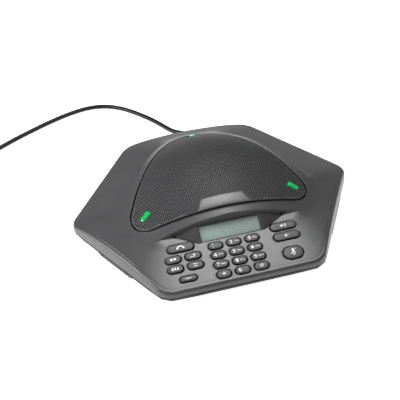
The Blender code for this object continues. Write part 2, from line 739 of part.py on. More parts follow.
def make_plug():
    """Plug body with its latch as one closed solid."""
    clear = material("plug_plastic", (0.5, 0.52, 0.54), 0.2, alpha=0.6)
    end = Vector(tail_route()[-1])
    back = Vector(tail_route()[-2])
    heading = math.degrees(math.atan2(end.y - back.y, end.x - back.x))
    spot = place(end.x, end.y, 0.0, heading) @ Matrix.Translation((0.3, 0, 0))
    side = [(0.0, 0.7), (21.0, 0.7), (21.0, 7.2), (17.0, 7.2), (8.0, 9.6), (4.0, 9.9), (4.0, 9.0),
            (8.0, 8.4), (11.5, 7.2), (0.0, 7.2)]
    rings = [[(x, w, z) for x, z in side] for w in (-5.85, 5.85)]
    bm = ring_solid(rings)
    bm.transform(spot)
    mesh_object("cable_plug", bm, clear)


def make_cable(shell, housing):
    make_relief(shell, housing)
    make_tube("cable", cord_route(), TUBE_POINTS)
    make_coil()
    make_tube("cable_tail", tail_route(), 12)
    make_tie()
    make_plug()


def main():
    shell = make_top_shell()
    make_keys(shell)
    make_display(shell)
    make_grille()
    make_speaker()
    make_boards()
    make_microphones()
    housing = make_housing()
    make_screws(housing)
    make_label()
    make_cable(shell, housing)


main()
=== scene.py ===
"""Looks of the conference speakerphone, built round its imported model.

Every length is in millimetres and becomes metres where a mesh is made.
"""

from __future__ import annotations

import logging
import math
from dataclasses import dataclass, field
from enum import Enum

import bmesh
import bpy
import numpy as np
from mathutils import Matrix, Vector


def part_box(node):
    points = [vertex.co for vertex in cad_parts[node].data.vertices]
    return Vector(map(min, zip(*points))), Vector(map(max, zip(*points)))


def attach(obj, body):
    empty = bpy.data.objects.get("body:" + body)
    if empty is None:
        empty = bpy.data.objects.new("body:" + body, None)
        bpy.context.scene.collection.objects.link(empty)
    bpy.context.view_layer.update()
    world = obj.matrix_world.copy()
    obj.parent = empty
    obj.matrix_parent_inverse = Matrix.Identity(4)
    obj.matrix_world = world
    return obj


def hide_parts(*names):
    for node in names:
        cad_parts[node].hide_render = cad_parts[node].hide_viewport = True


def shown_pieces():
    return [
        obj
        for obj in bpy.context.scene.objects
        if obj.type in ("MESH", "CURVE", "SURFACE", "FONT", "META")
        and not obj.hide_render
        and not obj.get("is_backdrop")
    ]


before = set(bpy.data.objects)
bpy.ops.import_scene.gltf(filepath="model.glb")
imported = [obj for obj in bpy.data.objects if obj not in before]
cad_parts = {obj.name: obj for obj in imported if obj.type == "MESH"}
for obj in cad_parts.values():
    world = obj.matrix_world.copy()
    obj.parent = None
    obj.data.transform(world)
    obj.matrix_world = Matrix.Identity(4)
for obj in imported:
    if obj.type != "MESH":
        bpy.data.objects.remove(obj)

MM = 0.001
UNIT = "unit"
LOG = logging.getLogger("speakerphone")
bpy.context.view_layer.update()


class Lobe(Enum):
    """The three microphone lobes and the direction each faces, in degrees."""

    BACK = 90.0
    FRONT_LEFT = 210.0
    FRONT_RIGHT = 330.0

    @property
    def node(self) -> str:
        """The lobe's ending in node names."""
        return self.name.lower()


# ---------------------------------------------------------------- materials


class Graph:
    """One material's node tree, with short ways to add the nodes that the finishes share."""

    def __init__(self, name: str) -> None:
        """Starts a material with only a Principled shader and its output.

        Args:
            name: the material's name.
        """
        self.material = bpy.data.materials.new(name)
        self.material.use_nodes = True
        self.nodes = self.material.node_tree.nodes
        self.links = self.material.node_tree.links
        self.shader = self.nodes["Principled BSDF"]
        self.place = self.nodes.new("ShaderNodeTexCoord").outputs["Object"]

    def set(self, **values: float | tuple) -> None:
        """Sets sockets of the shader; an underscore in a name stands for a space."""
        for name, value in values.items():
            self.shader.inputs[name.replace("_", " ")].default_value = value

    def noise(self, size: float, detail: float = 3.0, rough: float = 0.55) -> bpy.types.NodeSocket:
        """Grey noise whose features are about `size` millimetres across.

        Args:
            size: feature size in millimetres.
            detail: how many finer octaves lie on it.
            rough: how strong those octaves are.

        Returns:
            The noise value's socket.
        """
        node = self.nodes.new("ShaderNodeTexNoise")
        node.inputs["Scale"].default_value = 1.0 / (size * MM)
        node.inputs["Detail"].default_value = detail
        node.inputs["Roughness"].default_value = rough
        self.links.new(self.place, node.inputs["Vector"])
        return node.outputs["Fac"]

    def cells(self, size: float) -> bpy.types.NodeSocket:
        """Distance to the middle of the nearest cell, cells being `size` millimetres apart."""
        node = self.nodes.new("ShaderNodeTexVoronoi")
        node.inputs["Scale"].default_value = 1.0 / (size * MM)
        self.links.new(self.place, node.inputs["Vector"])
        return node.outputs["Distance"]

    def spread(self, value: bpy.types.NodeSocket, low: float, high: float,
               start: float = 0.0, end: float = 1.0) -> bpy.types.NodeSocket:
        """Carries a value from start..end over to low..high.

        Args:
            value: the socket to carry over.
            low: result at `start`.
            high: result at `end`.
            start: lower end of the incoming range.
            end: upper end of the incoming range.

        Returns:
            The mapped value's socket.
        """
        node = self.nodes.new("ShaderNodeMapRange")
        for name, number in (("From Min", start), ("From Max", end), ("To Min", low), ("To Max", high)):
            node.inputs[name].default_value = number
        self.links.new(value, node.inputs["Value"])
        return node.outputs["Result"]

    def mix(self, factor: bpy.types.NodeSocket, first: tuple, second: tuple) -> bpy.types.NodeSocket:
        """Blends two colours by a value, each a triple or another mix's socket."""
        node = self.nodes.new("ShaderNodeMix")
        node.data_type = "RGBA"
        self.links.new(factor, node.inputs[0])
        for socket, colour in ((node.inputs[6], first), (node.inputs[7], second)):
            if isinstance(colour, tuple):
                socket.default_value = (*colour, 1.0)
            else:
                self.links.new(colour, socket)
        return node.outputs[2]

    def math(self, kind: str, first: bpy.types.NodeSocket,
             second: bpy.types.NodeSocket | float) -> bpy.types.NodeSocket:
        """One arithmetic node on two values."""
        node = self.nodes.new("ShaderNodeMath")
        node.operation = kind
        for socket, value in zip(node.inputs, (first, second)):
            if isinstance(value, (int, float)):
                socket.default_value = value
            else:
                self.links.new(value, socket)
        return node.outputs[0]

    def axis(self, name: str) -> bpy.types.NodeSocket:
        """One coordinate of the surface point, in metres."""
        node = self.nodes.new("ShaderNodeSeparateXYZ")
        self.links.new(self.place, node.inputs[0])
        return node.outputs[name]

    def colour(self, socket: bpy.types.NodeSocket) -> None:
        """Drives the base colour."""
        self.links.new(socket, self.shader.inputs["Base Color"])

    def roughness(self, socket: bpy.types.NodeSocket) -> None:
        """Drives the roughness."""
        self.links.new(socket, self.shader.inputs["Roughness"])

    def relief(self, socket: bpy.types.NodeSocket, depth: float, strength: float = 1.0) -> None:
        """Raises the surface by a value times `depth` millimetres, as a bump."""
        node = self.nodes.new("ShaderNodeBump")
        node.inputs["Distance"].default_value = depth * MM
        node.inputs["Strength"].default_value = strength
        self.links.new(socket, node.inputs["Height"])
        self.links.new(node.outputs["Normal"], self.shader.inputs["Normal"])


def shade(colour: tuple, share: float) -> tuple:
    """A colour made lighter or darker by a share of itself."""
    return tuple(channel * share for channel in colour)


@dataclass(frozen=True)
class MouldedPlastic:
    """Moulded plastic: a fine spark-eroded grain, faint flow mottling and small lighter specks."""

    name: str
    colour: tuple
    gloss: float = 0.5
    grain: float = 0.55
    depth: float = 0.035
    mottle: float = 0.06
    specular: float = 0.5

    def make(self) -> bpy.types.Material:
        """Builds the material: grain as a bump, mottling in the colour and the roughness."""
        g = Graph(self.name)
        fine = g.noise(self.grain, 2.0)
        clouds = g.noise(26.0, 4.0)
        base = g.mix(g.spread(clouds, 0.0, 1.0, 0.3, 0.7), shade(self.colour, 1 - self.mottle),
                     shade(self.colour, 1 + self.mottle))
        specks = g.spread(g.noise(self.grain * 1.7, 1.0), 0.0, 0.35, 0.52, 0.75)
        g.colour(g.mix(specks, base, shade(self.colour, 1.45)))
        g.roughness(g.spread(fine, self.gloss - 0.07, self.gloss + 0.09, 0.3, 0.7))
        g.relief(fine, self.depth)
        g.set(Specular_IOR_Level=self.specular)
        return g.material


@dataclass(frozen=True)
class Rubber:
    """Soft rubber: nearly black, matt, with faint dusty patches."""

    name: str
    colour: tuple = (0.014, 0.014, 0.015)
    gloss: float = 0.62
    depth: float = 0.02
    specular: float = 0.5

    def make(self) -> bpy.types.Material:
        """Builds the material: dust as a slow colour change, fine bloom as a bump."""
        g = Graph(self.name)
        dust = g.spread(g.noise(9.0, 5.0), 0.0, 0.5, 0.45, 0.8)
        g.colour(g.mix(dust, self.colour, shade(self.colour, 2.4)))
        bloom = g.noise(0.5, 3.0)
        g.roughness(g.spread(bloom, self.gloss - 0.08, self.gloss + 0.12, 0.3, 0.7))
        g.relief(bloom, self.depth)
        g.set(Specular_IOR_Level=self.specular)
        return g.material


@dataclass(frozen=True)
class SpunMetal:
    """Plain metal with fine scratches and a slightly uneven polish."""

    name: str
    colour: tuple
    gloss: float = 0.32

    def make(self) -> bpy.types.Material:
        """Builds the material: stretched scratches in the roughness and the bump."""
        g = Graph(self.name)
        g.set(Metallic=1.0)
        wear = g.noise(5.0, 5.0)
        g.colour(g.mix(g.spread(wear, 0.0, 1.0, 0.3, 0.7), shade(self.colour, 0.82), self.colour))
        lines = g.noise(0.22, 2.0, 0.8)
        g.roughness(g.spread(lines, self.gloss - 0.08, self.gloss + 0.14, 0.3, 0.7))
        g.relief(lines, 0.004)
        return g.material


@dataclass(frozen=True)
class Weave:
    """Plain woven cloth on object coordinates: warp and weft as two crossed waves."""

    name: str
    colour: tuple
    pitch: float = 0.5
    sheen: float = 0.3

    def make(self) -> bpy.types.Material:
        """Builds the material: the two waves multiplied make raised crossings."""
        g = Graph(self.name)
        step = 2.0 * math.pi / (self.pitch * MM)
        warp = g.math("SINE", g.math("MULTIPLY", g.axis("X"), step), 0.0)
        weft = g.math("SINE", g.math("MULTIPLY", g.axis("Y"), step), 0.0)
        knots = g.spread(g.math("MULTIPLY", warp, weft), 0.0, 1.0, -1.0, 1.0)
        fuzz = g.math("ADD", g.math("MULTIPLY", knots, 0.7), g.math("MULTIPLY", g.noise(0.3), 0.3))
        g.colour(g.mix(fuzz, shade(self.colour, 0.45), shade(self.colour, 1.4)))
        g.relief(fuzz, 0.12)
        g.set(Roughness=0.9, Sheen_Weight=self.sheen, Sheen_Roughness=0.5)
        return g.material


@dataclass(frozen=True)
class GreenGuide:
    """Translucent green light guide, lit from below."""

    name: str
    colour: tuple = (0.0, 0.40, 0.075)
    glow: float = 0.30

    def make(self) -> bpy.types.Material:
        """Builds the material: a cloudy green with a soft glow."""
        g = Graph(self.name)
        haze = g.spread(g.noise(3.0, 3.0), 0.0, 1.0, 0.3, 0.7)
        tint = g.mix(haze, shade(self.colour, 0.75), shade(self.colour, 1.25))
        g.colour(tint)
        g.links.new(tint, g.shader.inputs["Emission Color"])
        g.set(Emission_Strength=self.glow, Roughness=0.22, Coat_Weight=0.4, Coat_Roughness=0.12)
        g.relief(g.noise(0.9), 0.02)
        return g.material


@dataclass(frozen=True)
class DisplayPanel:
    """Reflective liquid-crystal panel: green-grey, with a painted reflection that makes it lighter on the
    left, and a faint dot grid.
    """

    name: str
    # left and right: the two ends of the painted reflection, lighter on the left and darker on the right
    left: tuple = (0.33, 0.46, 0.40)
    right: tuple = (0.16, 0.23, 0.21)
    half_width: float = 26.0
    pitch: float = 0.55

    def make(self) -> bpy.types.Material:
        """Builds the material: a painted reflection as a slow left-to-right darkening, with the dots' grid
        over it.
        """
        g = Graph(self.name)
        # painted reflection: the colour runs from the lighter left to the darker right, with a little random
        # tone on it
        across = g.spread(g.axis("X"), 0.0, 1.0, -self.half_width * MM, self.half_width * MM)
        haze = g.math("ADD", across, g.spread(g.noise(7.0), -0.06, 0.06, 0.3, 0.7))
        base = g.mix(haze, self.left, self.right)
        step = 2.0 * math.pi / (self.pitch * MM)
        columns = g.math("SINE", g.math("MULTIPLY", g.axis("X"), step), 0.0)
        rows = g.math("SINE", g.math("MULTIPLY", g.axis("Z"), step * 1.2), 0.0)
        lines = g.spread(g.math("MAXIMUM", columns, rows), 0.0, 0.03, 0.72, 1.0)
        g.colour(g.mix(lines, base, (0.05, 0.08, 0.07)))
        g.set(Roughness=0.35)
        g.relief(g.noise(0.4), 0.004)
        return g.material


@dataclass(frozen=True)
class ClearPlastic:
    """Clear moulded plastic with a faint tint and small flow marks."""

    name: str
    tint: tuple = (0.85, 0.95, 0.92)
    alpha: float = 0.16
    gloss: float = 0.06

    def make(self) -> bpy.types.Material:
        """Builds the material: see-through by alpha, glossy, with slight waviness."""
        g = Graph(self.name)
        flow = g.noise(14.0, 2.0)
        g.colour(g.mix(flow, shade(self.tint, 0.9), self.tint))
        g.roughness(g.spread(g.noise(2.5, 4.0), self.gloss, self.gloss + 0.06, 0.4, 0.8))
        g.relief(flow, 0.02)
        g.set(Alpha=self.alpha, IOR=1.49)
        return g.material


@dataclass(frozen=True)
class Ink:
    """Printed ink: slightly uneven cover on the plastic under it."""

    name: str
    colour: tuple = (0.78, 0.78, 0.76)

    def make(self) -> bpy.types.Material:
        """Builds the material: a fine patchiness in the colour and the gloss."""
        g = Graph(self.name)
        cover = g.spread(g.noise(0.35, 3.0), 0.0, 1.0, 0.25, 0.55)
        g.colour(g.mix(cover, shade(self.colour, 0.82), self.colour))
        g.roughness(g.spread(cover, 0.55, 0.42))
        g.relief(cover, 0.006)
        return g.material


@dataclass(frozen=True)
class BoardLacquer:
    """Circuit board lacquer: green with fine copper tracks under it."""

    name: str

    def make(self) -> bpy.types.Material:
        """Builds the material: cell edges stand for the tracks."""
        g = Graph(self.name)
        tracks = g.spread(g.cells(3.2), 0.0, 1.0, 0.42, 0.5)
        g.colour(g.mix(tracks, (0.012, 0.10, 0.035), (0.03, 0.20, 0.07)))
        g.roughness(g.spread(g.noise(1.5), 0.3, 0.42))
        g.relief(tracks, 0.03)
        return g.material


@dataclass(frozen=True)
class Paper:
    """Pressed fibre, as of a speaker cone, or coated film, as of a label."""

    name: str
    colour: tuple
    fibre: float = 0.8
    gloss: float = 0.85

    def make(self) -> bpy.types.Material:
        """Builds the material: short fibres in the colour and the bump."""
        g = Graph(self.name)
        fibres = g.noise(self.fibre, 6.0, 0.7)
        g.colour(g.mix(fibres, shade(self.colour, 0.8), shade(self.colour, 1.2)))
        g.roughness(g.spread(fibres, self.gloss - 0.08, self.gloss + 0.08))
        g.relief(fibres, 0.03)
        return g.material


@dataclass(frozen=True)
class PaleFloor:
    """A seamless pale studio surface."""

    name: str = "pale_floor"
    colour: tuple = (0.93, 0.93, 0.93)

    def make(self) -> bpy.types.Material:
        """Builds the material: nearly even, with a little light of its own."""
        g = Graph(self.name)
        g.colour(g.mix(g.noise(300.0, 2.0), shade(self.colour, 0.995), self.colour))
        g.set(Roughness=0.85, Specular_IOR_Level=0.1, Emission_Strength=0.9,
              Emission_Color=(1.0, 1.0, 1.0, 1.0))
        return g.material


class Palette:
    """The finishes of this object, each made once and shared by its pieces."""

    SHELL = MouldedPlastic("shell_plastic", (0.052, 0.052, 0.054), 0.40, 0.6, 0.05, 0.09)
    GRILLE = MouldedPlastic("grille_coat", (0.062, 0.062, 0.064), 0.55, 0.35, 0.012, 0.06, 0.3)
    BASE = MouldedPlastic("base_plastic", (0.020, 0.020, 0.021), 0.5)
    # painted shade: near-black laid on walls, ledges and insides of the mouldings, where shade falls in gaps
    # and holes
    SHADE_BLACK = MouldedPlastic("inner_black", (0.010, 0.010, 0.011), 0.75)
    KEY = MouldedPlastic("key_plastic", (0.026, 0.026, 0.027), 0.42, 0.4, 0.006, 0.06, 0.32)
    BADGE = MouldedPlastic("badge_plate", (0.10, 0.10, 0.102), 0.42, 0.4, 0.008)
    # partly painted shade: the cloth is black, and made darker than cloth so the holes read as the shade
    # behind the sheet
    CLOTH_AND_SHADE = Weave("speaker_cloth", (0.005, 0.005, 0.005), 0.6, 0.1)
    TIE = Weave("tie_webbing", (0.02, 0.02, 0.022), 0.9, 0.5)
    RUBBER = Rubber("foot_rubber")
    JACKET = Rubber("cable_jacket", (0.005, 0.005, 0.0055), 0.42, 0.006, 0.25)
    RELIEF = Rubber("relief_rubber", (0.012, 0.012, 0.013), 0.5)
    STEEL = SpunMetal("zinc_steel", (0.56, 0.57, 0.60))
    CAN = SpunMetal("microphone_can", (0.62, 0.62, 0.63), 0.26)
    GOLD = SpunMetal("contact_gold", (0.83, 0.62, 0.22), 0.22)
    GREEN = GreenGuide("light_guide")
    PANEL = DisplayPanel("display_panel")
    WINDOW = ClearPlastic("display_window_clear", alpha=0.13)
    PLUG = ClearPlastic("plug_clear", (0.80, 0.83, 0.86), 0.45, 0.12)
    INK = Ink("legend_ink")
    BOARD = BoardLacquer("board_lacquer")
    CONE = Paper("cone_paper", (0.03, 0.03, 0.03))
    LABEL = Paper("label_film", (0.45, 0.45, 0.46), 2.0, 0.42)
    FLOOR = PaleFloor()
    _made: dict = {}

    @classmethod
    def get(cls, finish: object) -> bpy.types.Material:
        """The finish's material, made the first time it is asked for."""
        if finish.name not in cls._made:
            cls._made[finish.name] = finish.make()
        return cls._made[finish.name]


# ---------------------------------------------------------------- meshes


class Mesher:
    """Turns arrays of points in millimetres into finished objects at the origin."""

    @staticmethod
    def grid_faces(rows: int, columns: int, wrap_rows: bool, wrap_columns: bool,
                   first: int = 0) -> np.ndarray:
        """Quads of a grid of points numbered row by row.

        Args:
            rows: points along the first direction.
            columns: points along the second.
            wrap_rows: join the last row to the first.
            wrap_columns: join the last column to the first.
            first: number of the grid's first point.

        Returns:
            An array of four point numbers for each quad.
        """
        i = np.arange(rows if wrap_rows else rows - 1)[:, None]
        j = np.arange(columns if wrap_columns else columns - 1)[None, :]
        ii, jj = (i + 1) % rows, (j + 1) % columns
        corners = (i * columns + j, i * columns + jj, ii * columns + jj, ii * columns + j)
        return np.stack([np.broadcast_to(c, (i.size, j.size)).ravel() for c in corners], axis=1) + first

    @staticmethod
    def build(name: str, points: np.ndarray, faces: list, finish: object, sharp: float = 32.0,
              outward: bool = True) -> bpy.types.Object:
        """An object from points in millimetres and faces.

        Args:
            name: the piece's name.
            points: an array of points.
            faces: lists of point numbers.
            finish: the finish it wears.
            sharp: edges that turn more than this, in degrees, stay crisp.
            outward: recalculate the faces of a closed form to point out.

        Returns:
            The object, at the origin, linked to the scene.
        """
        mesh = bpy.data.meshes.new(name)
        mesh.from_pydata((np.asarray(points, float) * MM).tolist(), [], faces)
        if outward:
            bm = bmesh.new()
            bm.from_mesh(mesh)
            bmesh.ops.recalc_face_normals(bm, faces=bm.faces)
            bm.to_mesh(mesh)
            bm.free()
        mesh.shade_smooth()
        mesh.set_sharp_from_angle(angle=math.radians(sharp))
        obj = bpy.data.objects.new(name, mesh)
        bpy.context.scene.collection.objects.link(obj)
        obj.data.materials.append(Palette.get(finish))
        return obj

    @classmethod
    def loft(cls, name: str, rings: np.ndarray, finish: object, closed: bool = False,
             sharp: float = 32.0) -> bpy.types.Object:
        """A closed body through rings of equal length, its ends joined or capped.

        Args:
            name: the piece's name.
            rings: points as (ring, point on the ring, xyz).
            finish: the finish it wears.
            closed: join the last ring to the first in place of capping both.
            sharp: edges that turn more than this stay crisp.

        Returns:
            The finished object.
        """
        rows, columns = rings.shape[:2]
        faces = cls.grid_faces(rows, columns, closed, True).tolist()
        if not closed:
            faces.append(list(range(columns)))
            faces.append(list(range((rows - 1) * columns, rows * columns)))
        return cls.build(name, rings.reshape(-1, 3), faces, finish, sharp)

    @staticmethod
    def apply(obj: bpy.types.Object) -> bpy.types.Object:
        """Replaces an object's mesh with what its modifiers make of it."""
        graph = bpy.context.evaluated_depsgraph_get()
        mesh = bpy.data.meshes.new_from_object(obj.evaluated_get(graph))
        old = obj.data
        obj.modifiers.clear()
        obj.data = mesh
        bpy.data.meshes.remove(old)
        return obj

    @staticmethod
    def line(obj: bpy.types.Object, finish: object, chosen: np.ndarray) -> bpy.types.Object:
        """Gives the chosen faces of an object a second finish.

        Args:
            obj: the object.
            finish: the second finish.
            chosen: true for each face that wears it.

        Returns:
            The same object.
        """
        obj.data.materials.append(Palette.get(finish))
        obj.data.polygons.foreach_set("material_index", np.asarray(chosen, np.int32))
        obj.data.update()
        return obj

    @classmethod
    def cut(cls, target: bpy.types.Object, tool: bpy.types.Object) -> None:
        """Takes the tool's volume out of the target and removes the tool."""
        mod = target.modifiers.new("cut", "BOOLEAN")
        mod.operation = "DIFFERENCE"
        mod.solver = "EXACT"
        mod.object = tool
        cls.apply(target)
        bpy.data.objects.remove(tool, do_unlink=True)
        target.data.shade_smooth()
        target.data.set_sharp_from_angle(angle=math.radians(32.0))

    @staticmethod
    def bevel(obj: bpy.types.Object, width: float, segments: int, angle: float) -> None:
        """Rounds an object's crisp edges, width in millimetres."""
        mod = obj.modifiers.new("rounded", "BEVEL")
        mod.width = width * MM
        mod.segments = segments
        mod.limit_method = "ANGLE"
        mod.angle_limit = math.radians(angle)
        mod.harden_normals = False

    @classmethod
    def refined(cls, node: str, name: str, finish: object, bevel: float) -> bpy.types.Object:
        """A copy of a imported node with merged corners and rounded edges, in the node's place.

        Args:
            node: the node it stands for.
            name: the new piece's name.
            finish: the finish it wears.
            bevel: edge radius in millimetres.

        Returns:
            The new piece.
        """
        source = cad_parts[node]
        bm = bmesh.new()
        bm.from_mesh(source.data)
        bmesh.ops.remove_doubles(bm, verts=bm.verts, dist=1e-6)
        bmesh.ops.dissolve_limit(bm, angle_limit=math.radians(1.0), verts=bm.verts, edges=bm.edges)
        mesh = bpy.data.meshes.new(name)
        bm.to_mesh(mesh)
        bm.free()
        mesh.shade_smooth()
        mesh.set_sharp_from_angle(angle=math.radians(32.0))
        obj = bpy.data.objects.new(name, mesh)
        bpy.context.scene.collection.objects.link(obj)
        obj.data.materials.append(Palette.get(finish))
        cls.bevel(obj, bevel, 2, 32.0)
        cls.apply(obj)
        obj.data.shade_smooth()
        obj.data.set_sharp_from_angle(angle=math.radians(40.0))
        return obj


def pill(width: float, height: float, corner: float, per_corner: int = 12) -> np.ndarray:
    """Outline of a rectangle with round corners: four arcs joined by straights.

    Args:
        width: size along X.
        height: size along Y.
        corner: corner radius.
        per_corner: points on each arc.

    Returns:
        Points as (n, 2), anticlockwise.
    """
    corner = min(corner, width / 2 - 1e-3, height / 2 - 1e-3)
    turn = np.linspace(0.0, 90.0, per_corner)
    angle = np.radians(np.concatenate([turn + 90.0 * k for k in range(4)]))
    signs = np.repeat(np.array([[1, 1], [-1, 1], [-1, -1], [1, -1]]), per_corner, axis=0)
    centre = signs * np.array([width / 2 - corner, height / 2 - corner])
    return centre + corner * np.stack([np.cos(angle), np.sin(angle)], axis=1)


def stacked(outlines: list, heights: list) -> np.ndarray:
    """Outlines laid at their heights as rings of a loft."""
    rings = [np.column_stack([line, np.full(len(line), z)]) for line, z in zip(outlines, heights)]
    return np.stack(rings)


def placed(points: np.ndarray, matrix: Matrix) -> np.ndarray:
    """Points carried by a 4 by 4 matrix."""
    m = np.array(matrix)
    return points @ m[:3, :3].T + m[:3, 3]


def turned(profile: list, sides: int = 48) -> np.ndarray:
    """Rings of a profile of (radius, height) pairs turned about Z."""
    angle = np.linspace(0.0, 2 * math.pi, sides, endpoint=False)
    p = np.array(profile, float)
    x = p[:, :1] * np.cos(angle)
    y = p[:, :1] * np.sin(angle)
    return np.stack([x, y, np.broadcast_to(p[:, 1:], x.shape)], axis=2)


def dress(piece: bpy.types.Object, slot: str, *nodes: str, body: str = UNIT) -> bpy.types.Object:
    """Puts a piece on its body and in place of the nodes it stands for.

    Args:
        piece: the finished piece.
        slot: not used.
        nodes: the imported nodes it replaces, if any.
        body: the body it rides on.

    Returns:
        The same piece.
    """
    if nodes:
        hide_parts(*nodes)
    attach(piece, body)
    return piece


# ---------------------------------------------------------------- the top's form


@dataclass
class TopForm:
    """The outer form that the shell, the grille and the keypad share.

    A dome and three sloping lobes are blended, and three planes cut facets from them. Each facet
    ends at a step that rises to the dome.
    """

    apothem: float = 121.1
    corner: float = 19.0
    parting: float = 5.8
    facet_edge: tuple = (119.8, 11.3)
    facet_tilt: float = 16.0
    step_a: float = 67.8
    lobe_edge: tuple = (118.5, 18.0)
    lobe_slope: float = 0.28
    lobe_crown: float = 0.0012
    dome_top: float = 55.6
    dome_flat: float = 200.0
    dome_fall: float = 1.465
    opening_a: float = 61.1
    bow: float = 500.0
    opening_corner: float = 21.0

    @staticmethod
    def from_nearest(theta: np.ndarray, count: int) -> np.ndarray:
        """Angle in radians from the nearest of `count` even directions, one of them -90 degrees."""
        step = 360.0 / count
        return np.radians(np.abs((theta + 90.0 + step / 2) % step - step / 2))

    def hexagon(self, theta: np.ndarray, inset: float | np.ndarray = 0.0) -> np.ndarray:
        """Radius of the rounded hexagon, all of its sides moved in by `inset`."""
        phi = self.from_nearest(theta, 6)
        apothem, corner = self.apothem - inset, np.maximum(self.corner - inset, 1.0)
        centre = (apothem - corner) / math.cos(math.radians(30))
        psi = math.radians(30) - phi
        arc = centre * np.cos(psi) + np.sqrt(np.maximum(corner ** 2 - (centre * np.sin(psi)) ** 2, 0))
        tangent = np.arctan((apothem - corner) / apothem * math.tan(math.radians(30)))
        return np.where(phi < tangent, apothem / np.cos(phi), arc)

    def opening(self, theta: np.ndarray, inset: float = 0.0) -> np.ndarray:
        """Radius of the speaker opening: three bowed sides joined by round corners at the lobes."""
        phi = self.from_nearest(theta, 3)
        bow, corner = self.bow - inset, self.opening_corner - inset
        q = self.opening_a - self.bow
        side = q * np.cos(phi) + np.sqrt(bow ** 2 - (q * np.sin(phi)) ** 2)
        d = (q + math.sqrt(q * q - 4 * (q * q - (bow - corner) ** 2))) / 2
        psi = math.radians(60) - phi
        arc = d * np.cos(psi) + np.sqrt(np.maximum(corner ** 2 - (d * np.sin(psi)) ** 2, 0))
        lobe = np.array([0.5, math.sqrt(0.75)]) * d - np.array([q, 0.0])
        touch = np.array([q, 0.0]) + lobe * bow / np.linalg.norm(lobe)
        return np.where(phi < math.atan2(touch[1], touch[0]), side, arc)

    def step(self, theta: np.ndarray, offset: float = 0.0) -> np.ndarray:
        """Radius of the step line: straight across each facet, round past the lobes."""
        phi = self.from_nearest(theta, 3)
        straight = (self.step_a + offset) / np.cos(phi)
        outer = self.step_a + 28.0 + offset
        near = np.maximum(6.0 - np.abs(straight - outer), 0) / 6.0
        return np.minimum(straight, outer) - near * near * 1.5

    def facet(self, a: np.ndarray | float) -> np.ndarray | float:
        """Height of a facet's plane at distance `a` from the centre."""
        return self.facet_edge[1] + math.tan(math.radians(self.facet_tilt)) * (self.facet_edge[0] - a)

    def dome(self, r: np.ndarray) -> np.ndarray:
        """Height of the dome, a hyperbola turned about Z: its top less fall times (sqrt(r2+f2)-f)."""
        return self.dome_top - self.dome_fall * (np.sqrt(r * r + self.dome_flat ** 2) - self.dome_flat)

    def lobe(self, x: np.ndarray, y: np.ndarray) -> np.ndarray:
        """Height of the nearest lobe: a slope away from the centre with a slight crown across it."""
        best_u = np.full(np.shape(x), -1e9)
        best = np.zeros(np.shape(x))
        for side in Lobe:
            t = math.radians(side.value)
            u = x * math.cos(t) + y * math.sin(t)
            v = -x * math.sin(t) + y * math.cos(t)
            z = self.lobe_edge[1] + self.lobe_slope * (self.lobe_edge[0] - u) - self.lobe_crown * v * v
            best = np.where(u > best_u, z, best)
            best_u = np.maximum(best_u, u)
        return best

    def height(self, x: np.ndarray, y: np.ndarray) -> np.ndarray:
        """Height of the top at any place.

        Args:
            x: places along X.
            y: places along Y.

        Returns:
            The smooth maximum of dome and lobe, then its smooth minimum with each facet's plane
            plus that facet's step.
        """
        dome, lobe = self.dome(np.hypot(x, y)), self.lobe(x, y)
        h = np.maximum(4.0 - np.abs(dome - lobe), 0) / 4.0
        top = np.maximum(dome, lobe) + h * h
        for side in (-90.0, 30.0, 150.0):
            t = math.radians(side)
            a = x * math.cos(t) + y * math.sin(t)
            rise = 0.12 * np.log1p(np.exp(np.clip((self.step_a - a) / 0.12, -40, 40)))
            plane = self.facet(a) + 30.0 * rise
            k = 0.7 + 2.3 * np.clip((a - 69.0) / 8.0, 0, 1)
            h = np.maximum(k - np.abs(top - plane), 0) / k
            cut = np.minimum(top, plane) - h * h * k / 4
            top = np.where(a > 20.0, cut, top)
        return top


FORM = TopForm()


def on_facet(x: float, up: float, out: float = 0.0) -> Matrix:
    """The frame of a point on the keypad facet.

    Args:
        x: distance across.
        up: distance up the facet from its lower edge.
        out: distance along its normal.

    Returns:
        A matrix whose Z is the facet's normal and whose Y runs up it.
    """
    t = math.radians(FORM.facet_tilt)
    y = -FORM.facet_edge[0] + up * math.cos(t) - out * math.sin(t)
    z = FORM.facet_edge[1] + up * math.sin(t) + out * math.cos(t)
    return Matrix.Translation((x, y, z)) @ Matrix.Rotation(t, 4, "X")


# ---------------------------------------------------------------- camera, floor and lights


